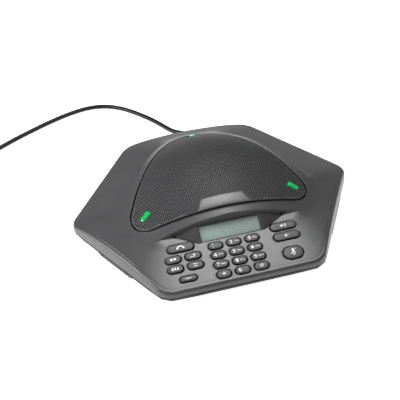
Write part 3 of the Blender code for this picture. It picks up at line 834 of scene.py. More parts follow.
@dataclass
class Studio:
    """Camera, pale floor and soft lights."""

    eye: tuple = (-92.43, -504.92, 392.46)
    azimuth: float = -9.062
    elevation: float = 36.89
    roll: float = -6.292
    lens: float = 58.77
    floor: float = 9000.0
    ambient: float = 0.02
    aim: tuple = (0.0, 0.0, 20.0)
    lamps: tuple = (("overhead", (174.7, 374.7, 1441.9), 550.0, 23.0),
                    ("low_left", (-1344.0, 117.6, 656.0), 600.0, 22.0),
                    ("front_fill", (-100.0, -1145.0, 964.0), 500.0, 1.2))

    def camera(self) -> None:
        """Sets the camera: it looks down at the keypad side and is rolled a little."""
        a, e, r = (math.radians(v) for v in (self.azimuth, self.elevation, self.roll))
        back = Vector((math.sin(a) * math.cos(e), -math.cos(a) * math.cos(e), math.sin(e)))
        level = Vector((math.cos(a), math.sin(a), 0.0))
        rise = back.cross(level)
        right = level * math.cos(r) + rise * math.sin(r)
        up = rise * math.cos(r) - level * math.sin(r)
        data = bpy.data.cameras.new("studio_camera")
        data.lens = self.lens
        data.sensor_width = 36.0
        data.clip_start = 0.01
        data.clip_end = 100.0
        camera = bpy.data.objects.new("studio_camera", data)
        turn = Matrix((right, up, back)).transposed()
        camera.matrix_world = Matrix.Translation(Vector(self.eye) * MM) @ turn.to_4x4()
        bpy.context.scene.collection.objects.link(camera)
        bpy.context.scene.camera = camera

    def lamp(self, name: str, place: tuple, size: float, power: float) -> None:
        """A square soft light that faces the studio's aim.

        Args:
            name: its name.
            place: where it hangs, in millimetres.
            size: its side.
            power: its power in watts.
        """
        data = bpy.data.lights.new(name, "AREA")
        data.shape = "SQUARE"
        data.size = size * MM
        data.energy = power
        lamp = bpy.data.objects.new(name, data)
        away = Vector(place) - Vector(self.aim)
        turn = away.to_track_quat("Z", "Y").to_matrix().to_4x4()
        lamp.matrix_world = Matrix.Translation(Vector(place) * MM) @ turn
        bpy.context.scene.collection.objects.link(lamp)

    def build(self) -> None:
        """Makes the floor, the world and the lights."""
        half = self.floor / 2
        corners = np.array([[-half, -half, 0], [half, -half, 0], [half, half, 0], [-half, half, 0]])
        floor = Mesher.build("floor", corners - [0, 0, 0.05], [[0, 1, 2, 3]], Palette.FLOOR,
                             outward=False)
        floor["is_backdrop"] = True
        world = bpy.data.worlds.new("studio")
        world.use_nodes = True
        world.node_tree.nodes["Background"].inputs[0].default_value = (1.0, 1.0, 1.0, 1.0)
        world.node_tree.nodes["Background"].inputs[1].default_value = self.ambient
        bpy.context.scene.world = world
        bpy.context.scene.view_settings.view_transform = "Standard"
        for name, place, size, power in self.lamps:
            self.lamp(name, place, size, power)


# ---------------------------------------------------------------- cable


@dataclass
class LineCord:
    """The free cable: its strain relief, its run to a wound coil, the tie and the plug."""

    diameter: float = 5.2
    lies_z: float = 2.7
    exit_z: float = 7.4
    relief_end: float = 132.0
    relief_end_z: float = 6.0
    coil_centre: tuple = (-272.0, 85.0)
    coil_r: float = 28.9
    pitch: float = 5.3
    layers: int = 4
    turns: int = 4
    lowest_layer: float = 3.85
    start: float = 165.0
    leave: float = 118.0
    land: float = 198.5
    land_r: float = 45.3
    taper_y: float = 122.0
    tie_turn: float = 250.0
    length: float = 0.0

    def lead(self) -> np.ndarray:
        """The run from the strain relief to the coil."""
        z = self.lies_z
        return np.array([
            (0.0, self.relief_end - 1.0, self.relief_end_z + 0.1), (-0.1, 133.1, 5.75),
            (-0.7, 135.2, 5.2), (-2.2, 137.9, 4.4), (-4.8, 140.8, 3.7), (-8.9, 145.2, 3.1),
            (-14.4, 153.4, 2.8), (-20.4, 165.3, z), (-28.3, 180.1, z), (-37.4, 194.7, z),
            (-49.9, 212.0, z), (-63.0, 226.6, z), (-77.5, 236.9, z), (-92.2, 241.9, z),
            (-107.0, 242.0, z), (-124.5, 237.4, z), (-144.2, 228.8, z), (-163.3, 218.1, z),
            (-187.9, 202.6, z), (-211.0, 186.2, z), (-233.5, 169.2, z), (-257.0, 151.6, z),
            (-275.0, 138.0, z), (-292.0, 125.9, z)])

    def tail(self) -> np.ndarray:
        """The run from the coil to the plug."""
        z = self.lies_z
        return np.array([
            (-315.0, 70.6, z), (-312.5, 61.5, z), (-307.5, 52.0, z), (-300.0, 43.0, z),
            (-289.5, 35.3, z), (-278.0, 30.2, z), (-267.4, 26.8, 3.1), (-258.2, 24.4, 4.0)])

    def winding(self) -> np.ndarray:
        """The coil, wound inwards on its lowest layer, outwards on the next, and so on.

        Returns:
            Points 12 degrees apart on a flat spiral whose radius changes by one pitch a turn. In
            the last third of a turn it climbs to the next layer; at the end it runs down outside
            the coil to where the tail starts.
        """
        wound = self.layers * self.turns - (self.start - self.leave) / 360.0
        t = np.arange(0.0, wound, 1.0 / 30.0)
        layer = np.floor(t / self.turns)
        part = t - layer * self.turns
        outer = self.coil_r + self.pitch * self.turns / 2
        inward = np.where(layer % 2 == 0, part, self.turns - part)
        r = outer - self.pitch * inward
        climb = np.where(layer < self.layers - 1, np.clip((part - self.turns + 0.33) / 0.33, 0, 1), 0.0)
        z = self.lowest_layer + self.pitch * (layer + climb * climb * (3 - 2 * climb))
        share = np.arange(0.1, 0.95, 0.1)
        down = share * share * (3 - 2 * share)
        last_r, last_z = r[-1], z[-1]
        r = np.append(r, last_r + (self.land_r - last_r) * np.sqrt(share))
        z = np.append(z, last_z + (self.lies_z - last_z) * down)
        t = np.append(t, t[-1] + share * (self.land - self.leave) / 360.0)
        angle = np.radians(self.start + 360.0 * t)
        r = r + 0.1 * np.sin(angle * 2.7)
        return np.column_stack([self.coil_centre[0] + r * np.cos(angle),
                                self.coil_centre[1] + r * np.sin(angle), z])

    @staticmethod
    def smooth(points: np.ndarray, spacing: float) -> np.ndarray:
        """Even points of the centripetal Catmull-Rom curve through the given ones.

        Args:
            points: the route's own points.
            spacing: distance between the results.

        Returns:
            Points on the curve, first and last kept.
        """
        p = np.vstack([2 * points[0] - points[1], points, 2 * points[-1] - points[-2]])
        knots = np.concatenate([[0], np.cumsum(np.sqrt(np.linalg.norm(np.diff(p, axis=0), axis=1)))])
        share = np.linspace(0, 1, 12, endpoint=False)[None, :, None]
        t0, t1, t2, t3 = (knots[k:len(knots) - 3 + k][:, None, None] for k in range(4))
        p0, p1, p2, p3 = (p[k:len(p) - 3 + k][:, None, :] for k in range(4))
        t = t1 + (t2 - t1) * share
        a1 = (t1 - t) / (t1 - t0) * p0 + (t - t0) / (t1 - t0) * p1
        a2 = (t2 - t) / (t2 - t1) * p1 + (t - t1) / (t2 - t1) * p2
        a3 = (t3 - t) / (t3 - t2) * p2 + (t - t2) / (t3 - t2) * p3
        b1 = (t2 - t) / (t2 - t0) * a1 + (t - t0) / (t2 - t0) * a2
        b2 = (t3 - t) / (t3 - t1) * a2 + (t - t1) / (t3 - t1) * a3
        line = ((t2 - t) / (t2 - t1) * b1 + (t - t1) / (t2 - t1) * b2).reshape(-1, 3)
        line = np.vstack([line, points[-1]])
        along = np.concatenate([[0], np.cumsum(np.linalg.norm(np.diff(line, axis=0), axis=1))])
        want = np.linspace(0, along[-1], max(int(along[-1] / spacing), 2))
        return np.column_stack([np.interp(want, along, line[:, k]) for k in range(3)])

    def sweep(self, line: np.ndarray, radius: float, sides: int = 16) -> np.ndarray:
        """Rings of a round tube along a line, turned as little as possible from ring to ring."""
        ahead = np.gradient(line, axis=0)
        ahead /= np.linalg.norm(ahead, axis=1)[:, None]
        side = np.cross(ahead, [0.0, 0.0, 1.0])
        side /= np.linalg.norm(side, axis=1)[:, None]
        up = np.cross(side, ahead)
        t = np.linspace(0, 2 * math.pi, sides, endpoint=False)[None, :, None]
        return line[:, None] + radius * (np.cos(t) * side[:, None] + np.sin(t) * up[:, None])

    def build(self) -> None:
        route = np.vstack([self.lead(), self.winding(), self.tail()])
        line = self.smooth(route, 4.0)
        self.length = float(np.linalg.norm(np.diff(line, axis=0), axis=1).sum())
        cable = Mesher.loft("line_cord", self.sweep(line, self.diameter / 2), Palette.JACKET)
        dress(cable, "cable_jacket", "cable", "cable_coil", "cable_tail")
        tie, plug = self.make_tie(), self.make_plug()
        self.make_relief()

    def make_relief(self) -> bpy.types.Object:
        """The strain relief: a taper with six grooves round it that droops to meet the cable."""
        y = np.linspace(116.9, self.relief_end, 70)
        share = np.clip((y - self.taper_y) / (self.relief_end - self.taper_y), 0, 1)
        radius = 3.6 - 0.75 * share
        groove = np.clip(np.cos(share * 2 * math.pi * 5.0) * 3 - 1.5, 0, 1)
        radius = radius - 0.32 * groove * (share > 0.05) * (share < 0.9)
        radius[-1] -= 0.2
        y = np.append([114.6, 116.6], y)
        radius = np.append([4.3, 4.3], radius)
        rings = turned(list(zip(radius.tolist(), y.tolist())), 32)[:, :, [0, 2, 1]]
        share = np.clip((y - self.taper_y) / (self.relief_end - self.taper_y), 0, 1)
        rings[:, :, 2] += (self.exit_z - (self.exit_z - self.relief_end_z) * share ** 1.5)[:, None]
        piece = Mesher.loft("strain_relief", rings, Palette.RELIEF, sharp=50.0)
        return dress(piece, "cable_rubber", "cable_relief")

    def make_tie(self) -> bpy.types.Object:
        """The band round the coil's section: a flat loop whose width is crowned a little."""
        mid, half = 11.9, self.pitch * self.turns / 2 + self.diameter / 2
        outline = pill(2 * half + 3.3, 23.7, 2.9, 10)
        inner = pill(2 * half + 1.7, 22.1, 2.2, 10)
        width = np.array([-5.0, -4.9, -4.0, 4.0, 4.9, 5.0])
        swell = np.array([-0.35, -0.12, 0.0, 0.0, -0.12, -0.35])
        rings = [np.column_stack([self.coil_r + outline[:, 0] * (1 + s / 14), np.full(len(outline), w),
                                  mid + outline[:, 1] * (1 + s / 14)]) for w, s in zip(width, swell)]
        rings += [np.column_stack([self.coil_r + inner[:, 0], np.full(len(inner), w), mid + inner[:, 1]])
                  for w in (5.0, -5.0)]
        turn = Matrix.Rotation(math.radians(self.tie_turn), 4, "Z")
        spot = Matrix.Translation((*self.coil_centre, 0)) @ turn
        piece = Mesher.loft("cord_tie", placed(np.stack(rings), spot), Palette.TIE, closed=True)
        return dress(piece, "tie", "cable_tie")

    def make_plug(self) -> list:
        """The line plug: clear body with a latch, and eight gold contacts under its nose."""
        end, before = self.tail()[-1], self.tail()[-2]
        heading = math.atan2(end[1] - before[1], end[0] - before[0])
        spot = Matrix.Translation((end[0], end[1], 0.0)) @ Matrix.Rotation(heading, 4, "Z")
        spot = spot @ Matrix.Translation((0.3, 0, 0))
        side = np.array([(0.0, 0.9), (20.8, 0.9), (20.8, 6.9), (16.6, 7.1), (8.0, 9.4), (4.2, 9.7),
                         (4.2, 9.0), (8.0, 8.5), (11.5, 7.1), (0.0, 7.1)])
        across = np.array([-5.7, -5.45, 5.45, 5.7])
        shrink = np.array([0.94, 1.0, 1.0, 0.94])
        centre = side.mean(axis=0)
        rings = np.stack([np.column_stack([centre[0] + (side[:, 0] - centre[0]) * s,
                                           np.full(len(side), w),
                                           centre[1] + (side[:, 1] - centre[1]) * s])
                          for w, s in zip(across, shrink)])
        body = Mesher.loft("plug_body", placed(rings, spot), Palette.PLUG)
        return [dress(body, "plug", "cable_plug"), dress(self.make_contacts(spot), "plug")]

    @staticmethod
    def make_contacts(spot: Matrix) -> bpy.types.Object:
        """Eight flat gold blades, side by side across the plug's nose."""
        corners = np.array([(x, y, z) for x in (15.0, 20.6) for y in (-0.18, 0.18)
                            for z in (0.78, 3.4)])
        cube = np.array([(0, 1, 3, 2), (4, 6, 7, 5), (0, 4, 5, 1), (2, 3, 7, 6), (0, 2, 6, 4),
                         (1, 5, 7, 3)])
        shift = (np.arange(8) - 3.5) * 1.02
        points = (corners[None] + np.stack([shift * 0, shift, shift * 0], axis=1)[:, None]).reshape(-1, 3)
        faces = (cube[None] + 8 * np.arange(8)[:, None, None]).reshape(-1, 4).tolist()
        return Mesher.build("plug_contacts", placed(points, spot), faces, Palette.GOLD)


# ---------------------------------------------------------------- shell


@dataclass
class KeySpec:
    """One key: its node, its place on the facet, its size and what is printed on it."""

    node: str
    x: float
    up: float
    width: float
    height: float
    legend: str


def key_specs() -> list[KeySpec]:
    """Every key, from the bottom row of digits up, then the left and the right group."""
    digits = (("star", "0", "hash"), ("7", "8", "9"), ("4", "5", "6"), ("1", "2", "3"))
    keys = [KeySpec("key_" + name, 16.4 * (column - 1), 6.8 + 9.75 * row, 12.4, 7.1, name)
            for row, names in enumerate(digits) for column, name in enumerate(names)]
    rest = (("hook", -46.4, 41.5, 23.6, 8.0), ("upper_left", -55.15, 30.8, 13.7, 7.1),
            ("upper_right", -37.65, 30.8, 13.7, 7.1), ("lower_left", -55.15, 21.3, 13.7, 7.1),
            ("lower_right", -37.65, 21.3, 13.7, 7.1), ("slim", -46.4, 9.9, 14.6, 5.2),
            ("volume_up", 46.4, 41.3, 23.4, 7.8), ("volume_down", 46.4, 30.6, 23.4, 7.8),
            ("mute", 46.4, 12.8, 17.4, 12.2))
    return keys + [KeySpec("key_" + n, x, up, w, h, n) for n, x, up, w, h in rest]


@dataclass
class TopShell:
    """The upper moulding, with its key holes, display opening and cable port."""

    wall: float = 2.4
    edge: float = 2.7
    draft: float = 0.10
    hole_gap: float = 0.7
    hole_round: float = 0.3

    def directions(self) -> np.ndarray:
        """Directions round the shell, closer together at the corners of the hexagon."""
        even = np.linspace(0.0, 60.0, 61)[:-1]
        warped = 30 + (even - 30) * (0.62 + 0.38 * (np.abs(even - 30) / 30) ** 1.6)
        return np.concatenate([-90.0 + 60.0 * k + warped for k in range(6)])

    def outer_rings(self, theta: np.ndarray) -> list:
        """Rings of the outside, from the parting line up, over the edge and in to the opening.

        Args:
            theta: directions in degrees.

        Returns:
            Arrays of points. The edge is a quarter round whose inset is edge*(1-cos) and whose
            drop is edge*(1-sin); the top follows the form's height.
        """
        t = np.radians(theta)

        def ring(radius: np.ndarray, z: np.ndarray) -> np.ndarray:
            return np.column_stack([radius * np.cos(t), radius * np.sin(t), np.broadcast_to(z, t.shape)])

        def top(radius: np.ndarray) -> np.ndarray:
            return FORM.height(radius * np.cos(t), radius * np.sin(t))

        rings = [ring(FORM.hexagon(theta, inset), FORM.parting + rise)
                 for inset, rise in ((0.35, 0.0), (0.1, 0.1), (0.0, 0.45))]
        edge_top = top(FORM.hexagon(theta, self.edge))
        shoulder = edge_top - self.edge
        for share in (0.33, 0.66):
            z = FORM.parting + (shoulder - FORM.parting) * share
            rings.append(ring(FORM.hexagon(theta) - self.draft * (z - FORM.parting), z))
        for turn in np.radians(np.linspace(0.0, 90.0, 8)):
            inset = self.edge * (1 - math.cos(turn))
            lean = self.draft * (shoulder + self.edge * math.sin(turn) - FORM.parting)
            radius = FORM.hexagon(theta, inset) - lean
            rings.append(ring(radius, edge_top - self.edge * (1 - math.sin(turn))))
        rim = np.hypot(rings[-1][:, 0], rings[-1][:, 1])
        foot = FORM.step(theta) + 0.8
        for share in np.linspace(0, 1, 38)[1:]:
            radius = rim + (foot - rim) * share
            rings.append(ring(radius, top(radius)))
        for offset in (0.5, 0.3, 0.15, 0.03, -0.08, -0.18, -0.28, -0.38, -0.5, -0.65, -0.85, -1.1, -1.5):
            radius = FORM.step(theta, offset)
            rings.append(ring(radius, top(radius)))
        last = FORM.step(theta, -1.5)
        mouth = FORM.opening(theta)
        for share in np.linspace(0, 1, 9)[1:-1]:
            radius = last + (mouth + 0.5 - last) * share
            rings.append(ring(radius, top(radius)))
        for inset, drop in ((0.5, 0.0), (0.25, 0.07), (0.07, 0.25), (0.0, 0.5), (0.0, 3.6), (-3.4, 3.6),
                            (-3.4, 4.6)):
            radius = FORM.opening(theta, -inset)
            rings.append(ring(radius, top(FORM.opening(theta)) - drop))
        return rings

    def inner_rings(self, theta: np.ndarray) -> list:
        """Rings of the inside, from under the opening's ledge out and down to the parting line."""
        t = np.radians(theta)

        def top(radius: np.ndarray) -> np.ndarray:
            return FORM.height(radius * np.cos(t), radius * np.sin(t))

        under = FORM.opening(theta, -1.8)
        inner = np.maximum(FORM.step(theta, -2.7), under + 0.4)
        foot = np.minimum(top(FORM.step(theta, 0.8)), top(inner) - 0.3) - self.wall
        rings = [(under, top(FORM.opening(theta)) - 4.9), (inner, top(inner) - self.wall - 0.2),
                 (inner + 0.1, foot)]
        rim = FORM.hexagon(theta, self.wall + 2.0)
        for share in (0.75, 0.5, 0.25, 0.0):
            radius = rim + (inner + 0.1 - rim) * share
            rings.append((radius, top(radius) - self.wall))
        rings.append((FORM.hexagon(theta, self.wall + 0.6), rings[-1][1] - 2.0))
        rings.append((FORM.hexagon(theta, self.wall), np.full(t.shape, FORM.parting)))
        return [np.column_stack([r * np.cos(t), r * np.sin(t), z]) for r, z in rings]

    def key_cutter(self, spec: KeySpec) -> np.ndarray:
        """Rings of one key hole: straight walls whose top flares in a small quarter round."""
        depth = [-6.0, -self.hole_round, -0.16, -0.06, 0.03, 1.2]
        flare = [0.0, 0.0, 0.05, 0.15, self.hole_round + 0.05, self.hole_round + 0.5]
        lines = [pill(spec.width + 2 * (self.hole_gap + f), spec.height + 2 * (self.hole_gap + f),
                      spec.height / 2 + self.hole_gap + f) for f in flare]
        return placed(stacked(lines, depth), on_facet(spec.x, spec.up))

    def build(self) -> None:
        """Makes the shell, cuts its holes and puts it on the unit."""
        theta = self.directions()
        outer = self.outer_rings(theta)
        rings = np.stack(outer + self.inner_rings(theta))
        shell = Mesher.loft("upper_shell", rings, Palette.SHELL, closed=True)
        row = np.repeat(np.arange(len(rings)), len(theta))
        # painted shade: the opening's wall, the ledge under the grille's gap and the whole inside of the
        # shell are near-black, though they are one moulding with the outside
        Mesher.line(shell, Palette.SHADE_BLACK, row >= len(outer) - 4)
        tools = np.concatenate([self.key_cutter(s)[None] for s in key_specs()])
        count, rows, columns = tools.shape[:3]
        # painted shade: the straight walls of each key hole are near-black, for the shade in the gaps round
        # the keys; the flared lip keeps the shell's finish
        faces, shaded_walls = [], []
        for k in range(count):
            first = k * rows * columns
            shaded_walls += [True] * columns + [False] * (columns * (rows - 2) + 2)
            faces += Mesher.grid_faces(rows, columns, False, True, first).tolist()
            faces.append(list(range(first, first + columns)))
            faces.append(list(range(first + (rows - 1) * columns, first + rows * columns)))
        holes = Mesher.build("key_holes", tools.reshape(-1, 3), faces, Palette.SHELL)
        Mesher.cut(shell, Mesher.line(holes, Palette.SHADE_BLACK, np.array(shaded_walls)))
        # painted shade: every face of the display opening and of the cable port is near-black, so the
        # shell's own cut walls read as the shade in the gaps
        for tool in (self.display_cutter(), self.port_cutter()):
            Mesher.cut(shell, Mesher.line(tool, Palette.SHADE_BLACK, np.ones(len(tool.data.polygons))))
        dress(shell, "shell", "top_shell")

    @staticmethod
    def display_cutter() -> bpy.types.Object:
        """The opening for the display bezel: its plan with a gap round it."""
        plan = Display().plan(0.35, 0.75)
        rings = np.stack([np.column_stack([plan, np.full(len(plan), z)]) for z in (12.0, 34.5)])
        return Mesher.loft("display_opening", rings, Palette.SHELL)

    @staticmethod
    def port_cutter() -> bpy.types.Object:
        """The round port of the strain relief."""
        profile = [(4.6, 110.0), (4.6, 117.15), (3.95, 117.15), (3.95, 119.6), (4.5, 126.0)]
        rings = turned(profile, 40)[:, :, [0, 2, 1]]
        rings[:, :, 2] += LineCord().exit_z
        return Mesher.loft("cable_port", rings, Palette.SHELL)


# ---------------------------------------------------------------- speaker grille


@dataclass
class SpeakerGrille:
    """The perforated dome: its sheet, rolled edge, cloth, blank badge and light bars."""

    pitch: float = 2.34
    hole: float = 0.83
    sheet: float = 0.8
    gap: float = 1.75
    light_r: float = 80.0
    light_size: tuple = (4.9, 10.7)
    cloth_drop: float = 1.9
    cloth: float = 0.4
    badge: tuple = ((24.0, -58.6), (19.2, -48.8))

    def cell_centres(self) -> np.ndarray:
        """Centres of the perforations: a triangular lattice inside the outline, clear of the lights."""
        n = int(100 / self.pitch)
        j, i = np.meshgrid(np.arange(-n, n + 1), np.arange(-n, n + 1), indexing="ij")
        x = self.pitch * (i + 0.5 * (j % 2)).ravel()
        y = (self.pitch * math.sqrt(0.75) * j).ravel()
        theta = np.degrees(np.arctan2(y, x))
        keep = np.hypot(x, y) < FORM.opening(theta, self.gap) - 1.45
        for lobe in Lobe:
            u, v = self.lobe_frame(x, y, lobe)
            near = (np.abs(u) < self.light_size[1] / 2 + 1.05) & (np.abs(v) < self.light_size[0] / 2 + 1.05)
            keep &= ~near
        return np.column_stack([x, y])[keep]

    def lobe_frame(self, x: np.ndarray, y: np.ndarray, lobe: Lobe) -> tuple:
        """Places measured along and across a lobe from its light bar's middle."""
        t = math.radians(lobe.value)
        return x * math.cos(t) + y * math.sin(t) - self.light_r, -x * math.sin(t) + y * math.cos(t)

    def snapped(self, corners: np.ndarray, free: np.ndarray) -> np.ndarray:
        """Moves the sheet's free corners onto its outline or onto the nearest light slot.

        Args:
            corners: plan places of all cell corners.
            free: which of them lie on the sheet's edge.

        Returns:
            The corners, the free ones moved along their radius or square to the slot.
        """
        theta = np.degrees(np.arctan2(corners[:, 1], corners[:, 0]))
        radius = np.hypot(corners[:, 0], corners[:, 1])
        scale = (FORM.opening(theta, self.gap) - 0.05) / radius
        moved = corners * scale[:, None]
        result = np.where(free[:, None], moved, corners)
        half = np.array([self.light_size[1] / 2 + 0.15, self.light_size[0] / 2 + 0.15])
        for lobe in Lobe:
            u, v = self.lobe_frame(corners[:, 0], corners[:, 1], lobe)
            near = free & (np.abs(u) < half[0] + 2.6) & (np.abs(v) < half[1] + 2.6)
            uu, vv = np.clip(u, -half[0], half[0]), np.clip(v, -half[1], half[1])
            t = math.radians(lobe.value)
            x = (uu + self.light_r) * math.cos(t) - vv * math.sin(t)
            y = (uu + self.light_r) * math.sin(t) + vv * math.cos(t)
            result = np.where(near[:, None], np.column_stack([x, y]), result)
        return result

    def make_sheet(self) -> bpy.types.Object:
        """The perforated sheet.

        Returns:
            Each cell is a hexagon of the lattice with a twelve-sided hole in it: its corners are
            shared with its neighbours, and the hole has a wall as deep as the sheet. The height is
            the dome's.
        """
        centres = self.cell_centres()
        count = len(centres)
        six = np.radians(90.0 + 60.0 * np.arange(6))
        reach = self.pitch / math.sqrt(3)
        raw = centres[:, None] + reach * np.stack([np.cos(six), np.sin(six)], axis=1)[None]
        key = np.round(raw.reshape(-1, 2) / 0.05).astype(int)
        _, first, index = np.unique(key, axis=0, return_index=True, return_inverse=True)
        index = index.reshape(count, 6)
        shared = raw.reshape(-1, 2)[first]
        free = np.bincount(index.ravel(), minlength=len(shared)) < 3
        shared = self.snapped(shared, free)
        twelve = np.radians(90.0 + 30.0 * np.arange(12))
        ring = centres[:, None] + self.hole * np.stack([np.cos(twelve), np.sin(twelve)], axis=1)[None]
        flat = ring.reshape(-1, 2)
        plan = np.vstack([shared, flat, flat])
        z = FORM.dome(np.hypot(plan[:, 0], plan[:, 1]))
        z[len(shared) + len(flat):] -= self.sheet
        top = len(shared) + np.arange(count * 12).reshape(count, 12)
        low = top + count * 12
        k = np.arange(6)
        land = np.stack([index[:, k], index[:, (k + 1) % 6], top[:, (2 * k + 2) % 12], top[:, 2 * k + 1],
                         top[:, 2 * k]], axis=2).reshape(-1, 5)
        m = np.arange(12)
        wall = np.stack([top[:, m], top[:, (m + 1) % 12], low[:, (m + 1) % 12], low[:, m]],
                        axis=2).reshape(-1, 4)
        return Mesher.build("grille_sheet", np.column_stack([plan, z]), land.tolist() + wall.tolist(),
                            Palette.GRILLE, sharp=40.0, outward=False)

    def outline_loft(self, name: str, profile: list, finish: object) -> bpy.types.Object:
        """A profile of (inset, rise) pairs carried round the grille's outline, on the dome."""
        theta = np.linspace(-90.0, 270.0, 360, endpoint=False)
        t = np.radians(theta)
        rings = []
        for inset, rise in profile:
            r = FORM.opening(theta, self.gap + inset)
            rings.append(np.column_stack([r * np.cos(t), r * np.sin(t), FORM.dome(r) + rise]))
        return Mesher.loft(name, np.stack(rings), finish, closed=True)

    def make_cloth(self) -> bpy.types.Object:
        """The cloth under the sheet, black and darkened further as painted shade behind the holes: the dome
        again, lower, closed by a flat underside.
        """
        theta = np.linspace(-90.0, 270.0, 120, endpoint=False)
        t = np.radians(theta)
        edge = FORM.opening(theta, self.gap + 0.8)
        shares = np.array([1.0, 0.9, 0.75, 0.6, 0.45, 0.3, 0.15, 0.02])
        rings = []
        for drop, order in ((self.cloth_drop, shares[::-1]), (self.cloth_drop + self.cloth, shares)):
            for share in order:
                r = edge * share
                rings.append(np.column_stack([r * np.cos(t), r * np.sin(t), FORM.dome(r) - drop]))
        return Mesher.loft("speaker_cloth", np.stack(rings), Palette.CLOTH_AND_SHADE)

    def make_badge(self) -> bpy.types.Object:
        """The blank badge: a thin plate with sloping ends that follows the dome."""
        (wide, low), (narrow, high) = self.badge
        u = np.linspace(-1, 1, 33)[None, :]
        rows = [(0.0, 0.0, -0.5), (0.0, 0.0, 0.22), (0.04, -0.35, 0.34), (0.35, -0.35, 0.36),
                (0.65, -0.35, 0.36), (0.96, -0.35, 0.34), (1.0, 0.0, 0.22), (1.0, 0.0, -0.5)]
        v = np.array([row[0] for row in rows])[:, None]
        half = wide + (narrow - wide) * v + np.array([row[1] for row in rows])[:, None]
        x = u * half
        y = low + (high - low) * v + 0 * u
        z = FORM.dome(np.hypot(x, y)) + np.array([row[2] for row in rows])[:, None]
        ends = np.abs(u) > 0.97
        z = np.where(ends, np.minimum(z, FORM.dome(np.hypot(x, y)) + 0.2), z)
        points = np.stack([x, y, z], axis=2)
        faces = Mesher.grid_faces(*points.shape[:2], False, False).tolist()
        columns = points.shape[1]
        rows_count = points.shape[0]
        faces.append([k * columns for k in range(rows_count)])
        faces.append([k * columns + columns - 1 for k in range(rows_count)])
        faces += [[k, k + 1, (rows_count - 1) * columns + k + 1, (rows_count - 1) * columns + k]
                  for k in range(columns - 1)]
        return Mesher.build("badge_plate", points.reshape(-1, 3), faces, Palette.BADGE)

    def make_light(self, lobe: Lobe) -> bpy.types.Object:
        """One light bar: a tapered rounded block with a crowned top, set in its slot."""
        width, length = self.light_size
        insets = [0.0, 0.0, 0.06, 0.22, 0.5, 1.0, 1.7, 2.3]
        heights = [-3.5, 0.35, 0.62, 0.82, 0.98, 1.12, 1.2, 1.22]
        lines = [pill(width - 2 * s, length - 2 * s, 1.1, 8) for s in insets]
        rings = stacked(lines, heights)
        rings[:, :, 0] *= 1.0 - 0.12 * rings[:, :, 1] / (length / 2)
        tilt = math.atan(FORM.dome_fall * self.light_r / math.hypot(self.light_r, FORM.dome_flat))
        t = math.radians(lobe.value)
        z = float(FORM.dome(np.array(self.light_r)))
        spot = (Matrix.Translation((self.light_r * math.cos(t), self.light_r * math.sin(t), z))
                @ Matrix.Rotation(math.radians(lobe.value - 90.0), 4, "Z") @ Matrix.Rotation(-tilt, 4, "X"))
        light = Mesher.loft("light_bar_" + lobe.node, placed(rings, spot), Palette.GREEN, sharp=50.0)
        return dress(light, "light_guide", "light_" + lobe.node)

    def build(self) -> None:
        """Makes the grille's pieces and puts them on the unit."""
        sheet = self.make_sheet()
        edge = self.outline_loft("grille_edge", [
            (1.0, -0.25), (0.95, 0.05), (0.6, 0.12), (0.3, 0.05), (0.08, -0.2), (0.0, -0.55), (0.0, -2.6),
            (0.9, -2.6)], Palette.GRILLE)
        cloth = self.make_cloth()
        badge = self.make_badge()
        dress(sheet, "grille", "speaker_grille")
        for piece in (edge, cloth, badge):
            dress(piece, "grille")
        for lobe in Lobe:
            self.make_light(lobe)


# ---------------------------------------------------------------- display


